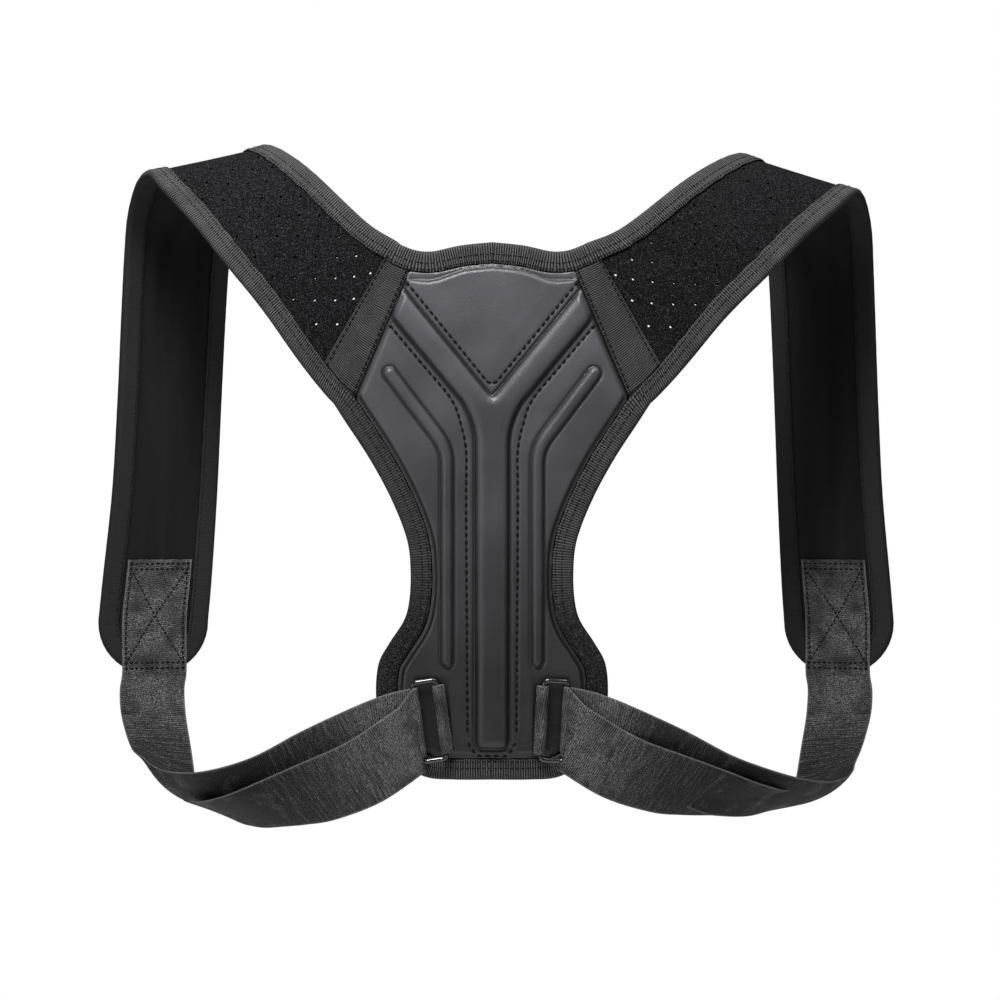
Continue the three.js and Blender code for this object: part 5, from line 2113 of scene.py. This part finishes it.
        top, low, double = inset, float(along[rows]) - 3 * MM, 3.4 * MM
        lines = [run((row, -reach), (row, reach)) for row in (top, top + double, low, low - double)]
        lines += [run((top, beside), (low, beside)) for beside in (reach, -reach)]
        lines += [run((top + double, -beside), (low - double, beside)) for beside in (reach, -reach)]
        name = self.strap.side.name + "_patch_stitches"
        self.stitching.sew(name, lines, Slot.WEBBING, self.wardrobe.black_thread, pitch=3 * MM)


class Light(NamedTuple):
    """A soft square light, with its side in metres and its power in watts."""

    name: str
    place: tuple[float, float, float]
    size: float
    power: float
    target: tuple[float, float, float] = (0, 0.03, 0)


LIGHTS = (
    Light("key_light", (-0.22, -0.5, 0.85), 0.28, 20, (0, 0, 0.1)),
    Light("top_light", (0.45, -0.1, 1.2), 0.5, 11),
    Light("fill_light", (-1.2, -1.3, 0.2), 0.7, 8),
    Light("right_light", (1.0, -1.25, 0.25), 0.6, 2.5),
    Light("front_light", (-0.6, 1.5, 0.6), 0.9, 4),
)


@dataclass
class Studio:
    """The camera, the pale floor and the soft lights."""

    camera_place: Vector = field(default_factory=lambda: Vector((0.00464, -1.6, 0.0058)))
    lens: float = 99.3
    sensor: float = 36.0
    floor_level: float = -0.46
    floor_reach: float = 14.0

    def build_camera(self) -> None:
        """Builds the level camera behind the wearer."""
        data = bpy.data.cameras.new("camera")
        data.lens, data.sensor_width = self.lens, self.sensor
        data.clip_start, data.clip_end = 0.05, 60
        camera = bpy.data.objects.new("camera", data)
        camera.location = self.camera_place
        camera.rotation_euler = (math.pi / 2, 0, 0)
        bpy.context.collection.objects.link(camera)
        bpy.context.scene.camera = camera

    def build_floor(self) -> None:
        """Builds the pale floor, far enough below to keep shadows soft."""
        material, graph, shader = start_material("pale_floor", 0.9)
        shader.inputs["Base Color"].default_value = (0.93, 0.93, 0.93, 1)
        seen = graph.node("ShaderNodeLightPath").outputs["Is Camera Ray"]
        glow = graph.first("ShaderNodeEmission", {"Color": (1, 1, 1, 1), "Strength": 1.0})
        both = graph.first("ShaderNodeMixShader", {0: seen, 1: shader.outputs[0], 2: glow})
        graph.feed(both, material.node_tree.nodes["Material Output"].inputs["Surface"])
        ends = [(-1, -1), (1, -1), (1, 1), (-1, 1)]
        corners = [(x * self.floor_reach, y * self.floor_reach, self.floor_level) for x, y in ends]
        mesh = bpy.data.meshes.new("floor")
        mesh.from_pydata(corners, [], [[0, 1, 2, 3]])
        mesh.materials.append(material)
        floor = bpy.data.objects.new("floor", mesh)
        bpy.context.collection.objects.link(floor)

    def build_world(self) -> None:
        """Builds a white backdrop that lights the scene only gently."""
        world = bpy.data.worlds.new("backdrop")
        world.use_nodes = True
        graph = Graph(world.node_tree)
        seen = graph.node("ShaderNodeLightPath").outputs["Is Camera Ray"]
        background = world.node_tree.nodes["Background"]
        background.inputs["Color"].default_value = (1, 1, 1, 1)
        graph.feed(graph.ramp(seen, 0.0, 1.0, 0.05, 1.0), background.inputs["Strength"])
        bpy.context.scene.world = world

    @staticmethod
    def add_light(light: Light) -> None:
        """Adds a light that looks at its target."""
        data = bpy.data.lights.new(light.name, "AREA")
        data.shape, data.size, data.energy = "SQUARE", light.size, light.power
        made = bpy.data.objects.new(light.name, data)
        made.location = Vector(light.place)
        way = Vector(light.target) - Vector(light.place)
        made.rotation_euler = way.to_track_quat("-Z", "Y").to_euler()
        bpy.context.collection.objects.link(made)

    def build(self) -> None:
        """Builds everything in the studio."""
        self.build_camera()
        self.build_floor()
        self.build_world()
        for light in LIGHTS:
            self.add_light(light)
        bpy.context.scene.view_settings.view_transform = "Standard"


def main() -> None:
    """Builds the corrector and its studio in order."""
    logging.basicConfig(level=logging.INFO, format="%(message)s")
    wardrobe = Wardrobe()
    trees = Trees()
    stitching = Stitching(trees, wardrobe)
    outline = PadOutline()
    straps = (StrapLine(LEFT, outline), StrapLine(RIGHT, outline))
    Studio().build()
    pad = BackPad(outline, straps, wardrobe, stitching)
    pad.build_pad()
    pad.build_panel()
    pad.build_tape()
    pad.sew()
    for strap in straps:
        shoulder = ShoulderStrap(strap, outline, wardrobe, trees, stitching)
        shoulder.build_strap()
        shoulder.build_band()
        shoulder.sew()
        webbing = Webbing(strap, wardrobe, trees, stitching)
        webbing.build_webbing()
        webbing.build_ring()
        webbing.build_fold()
        webbing.sew()


if __name__ == "__main__":
    main()
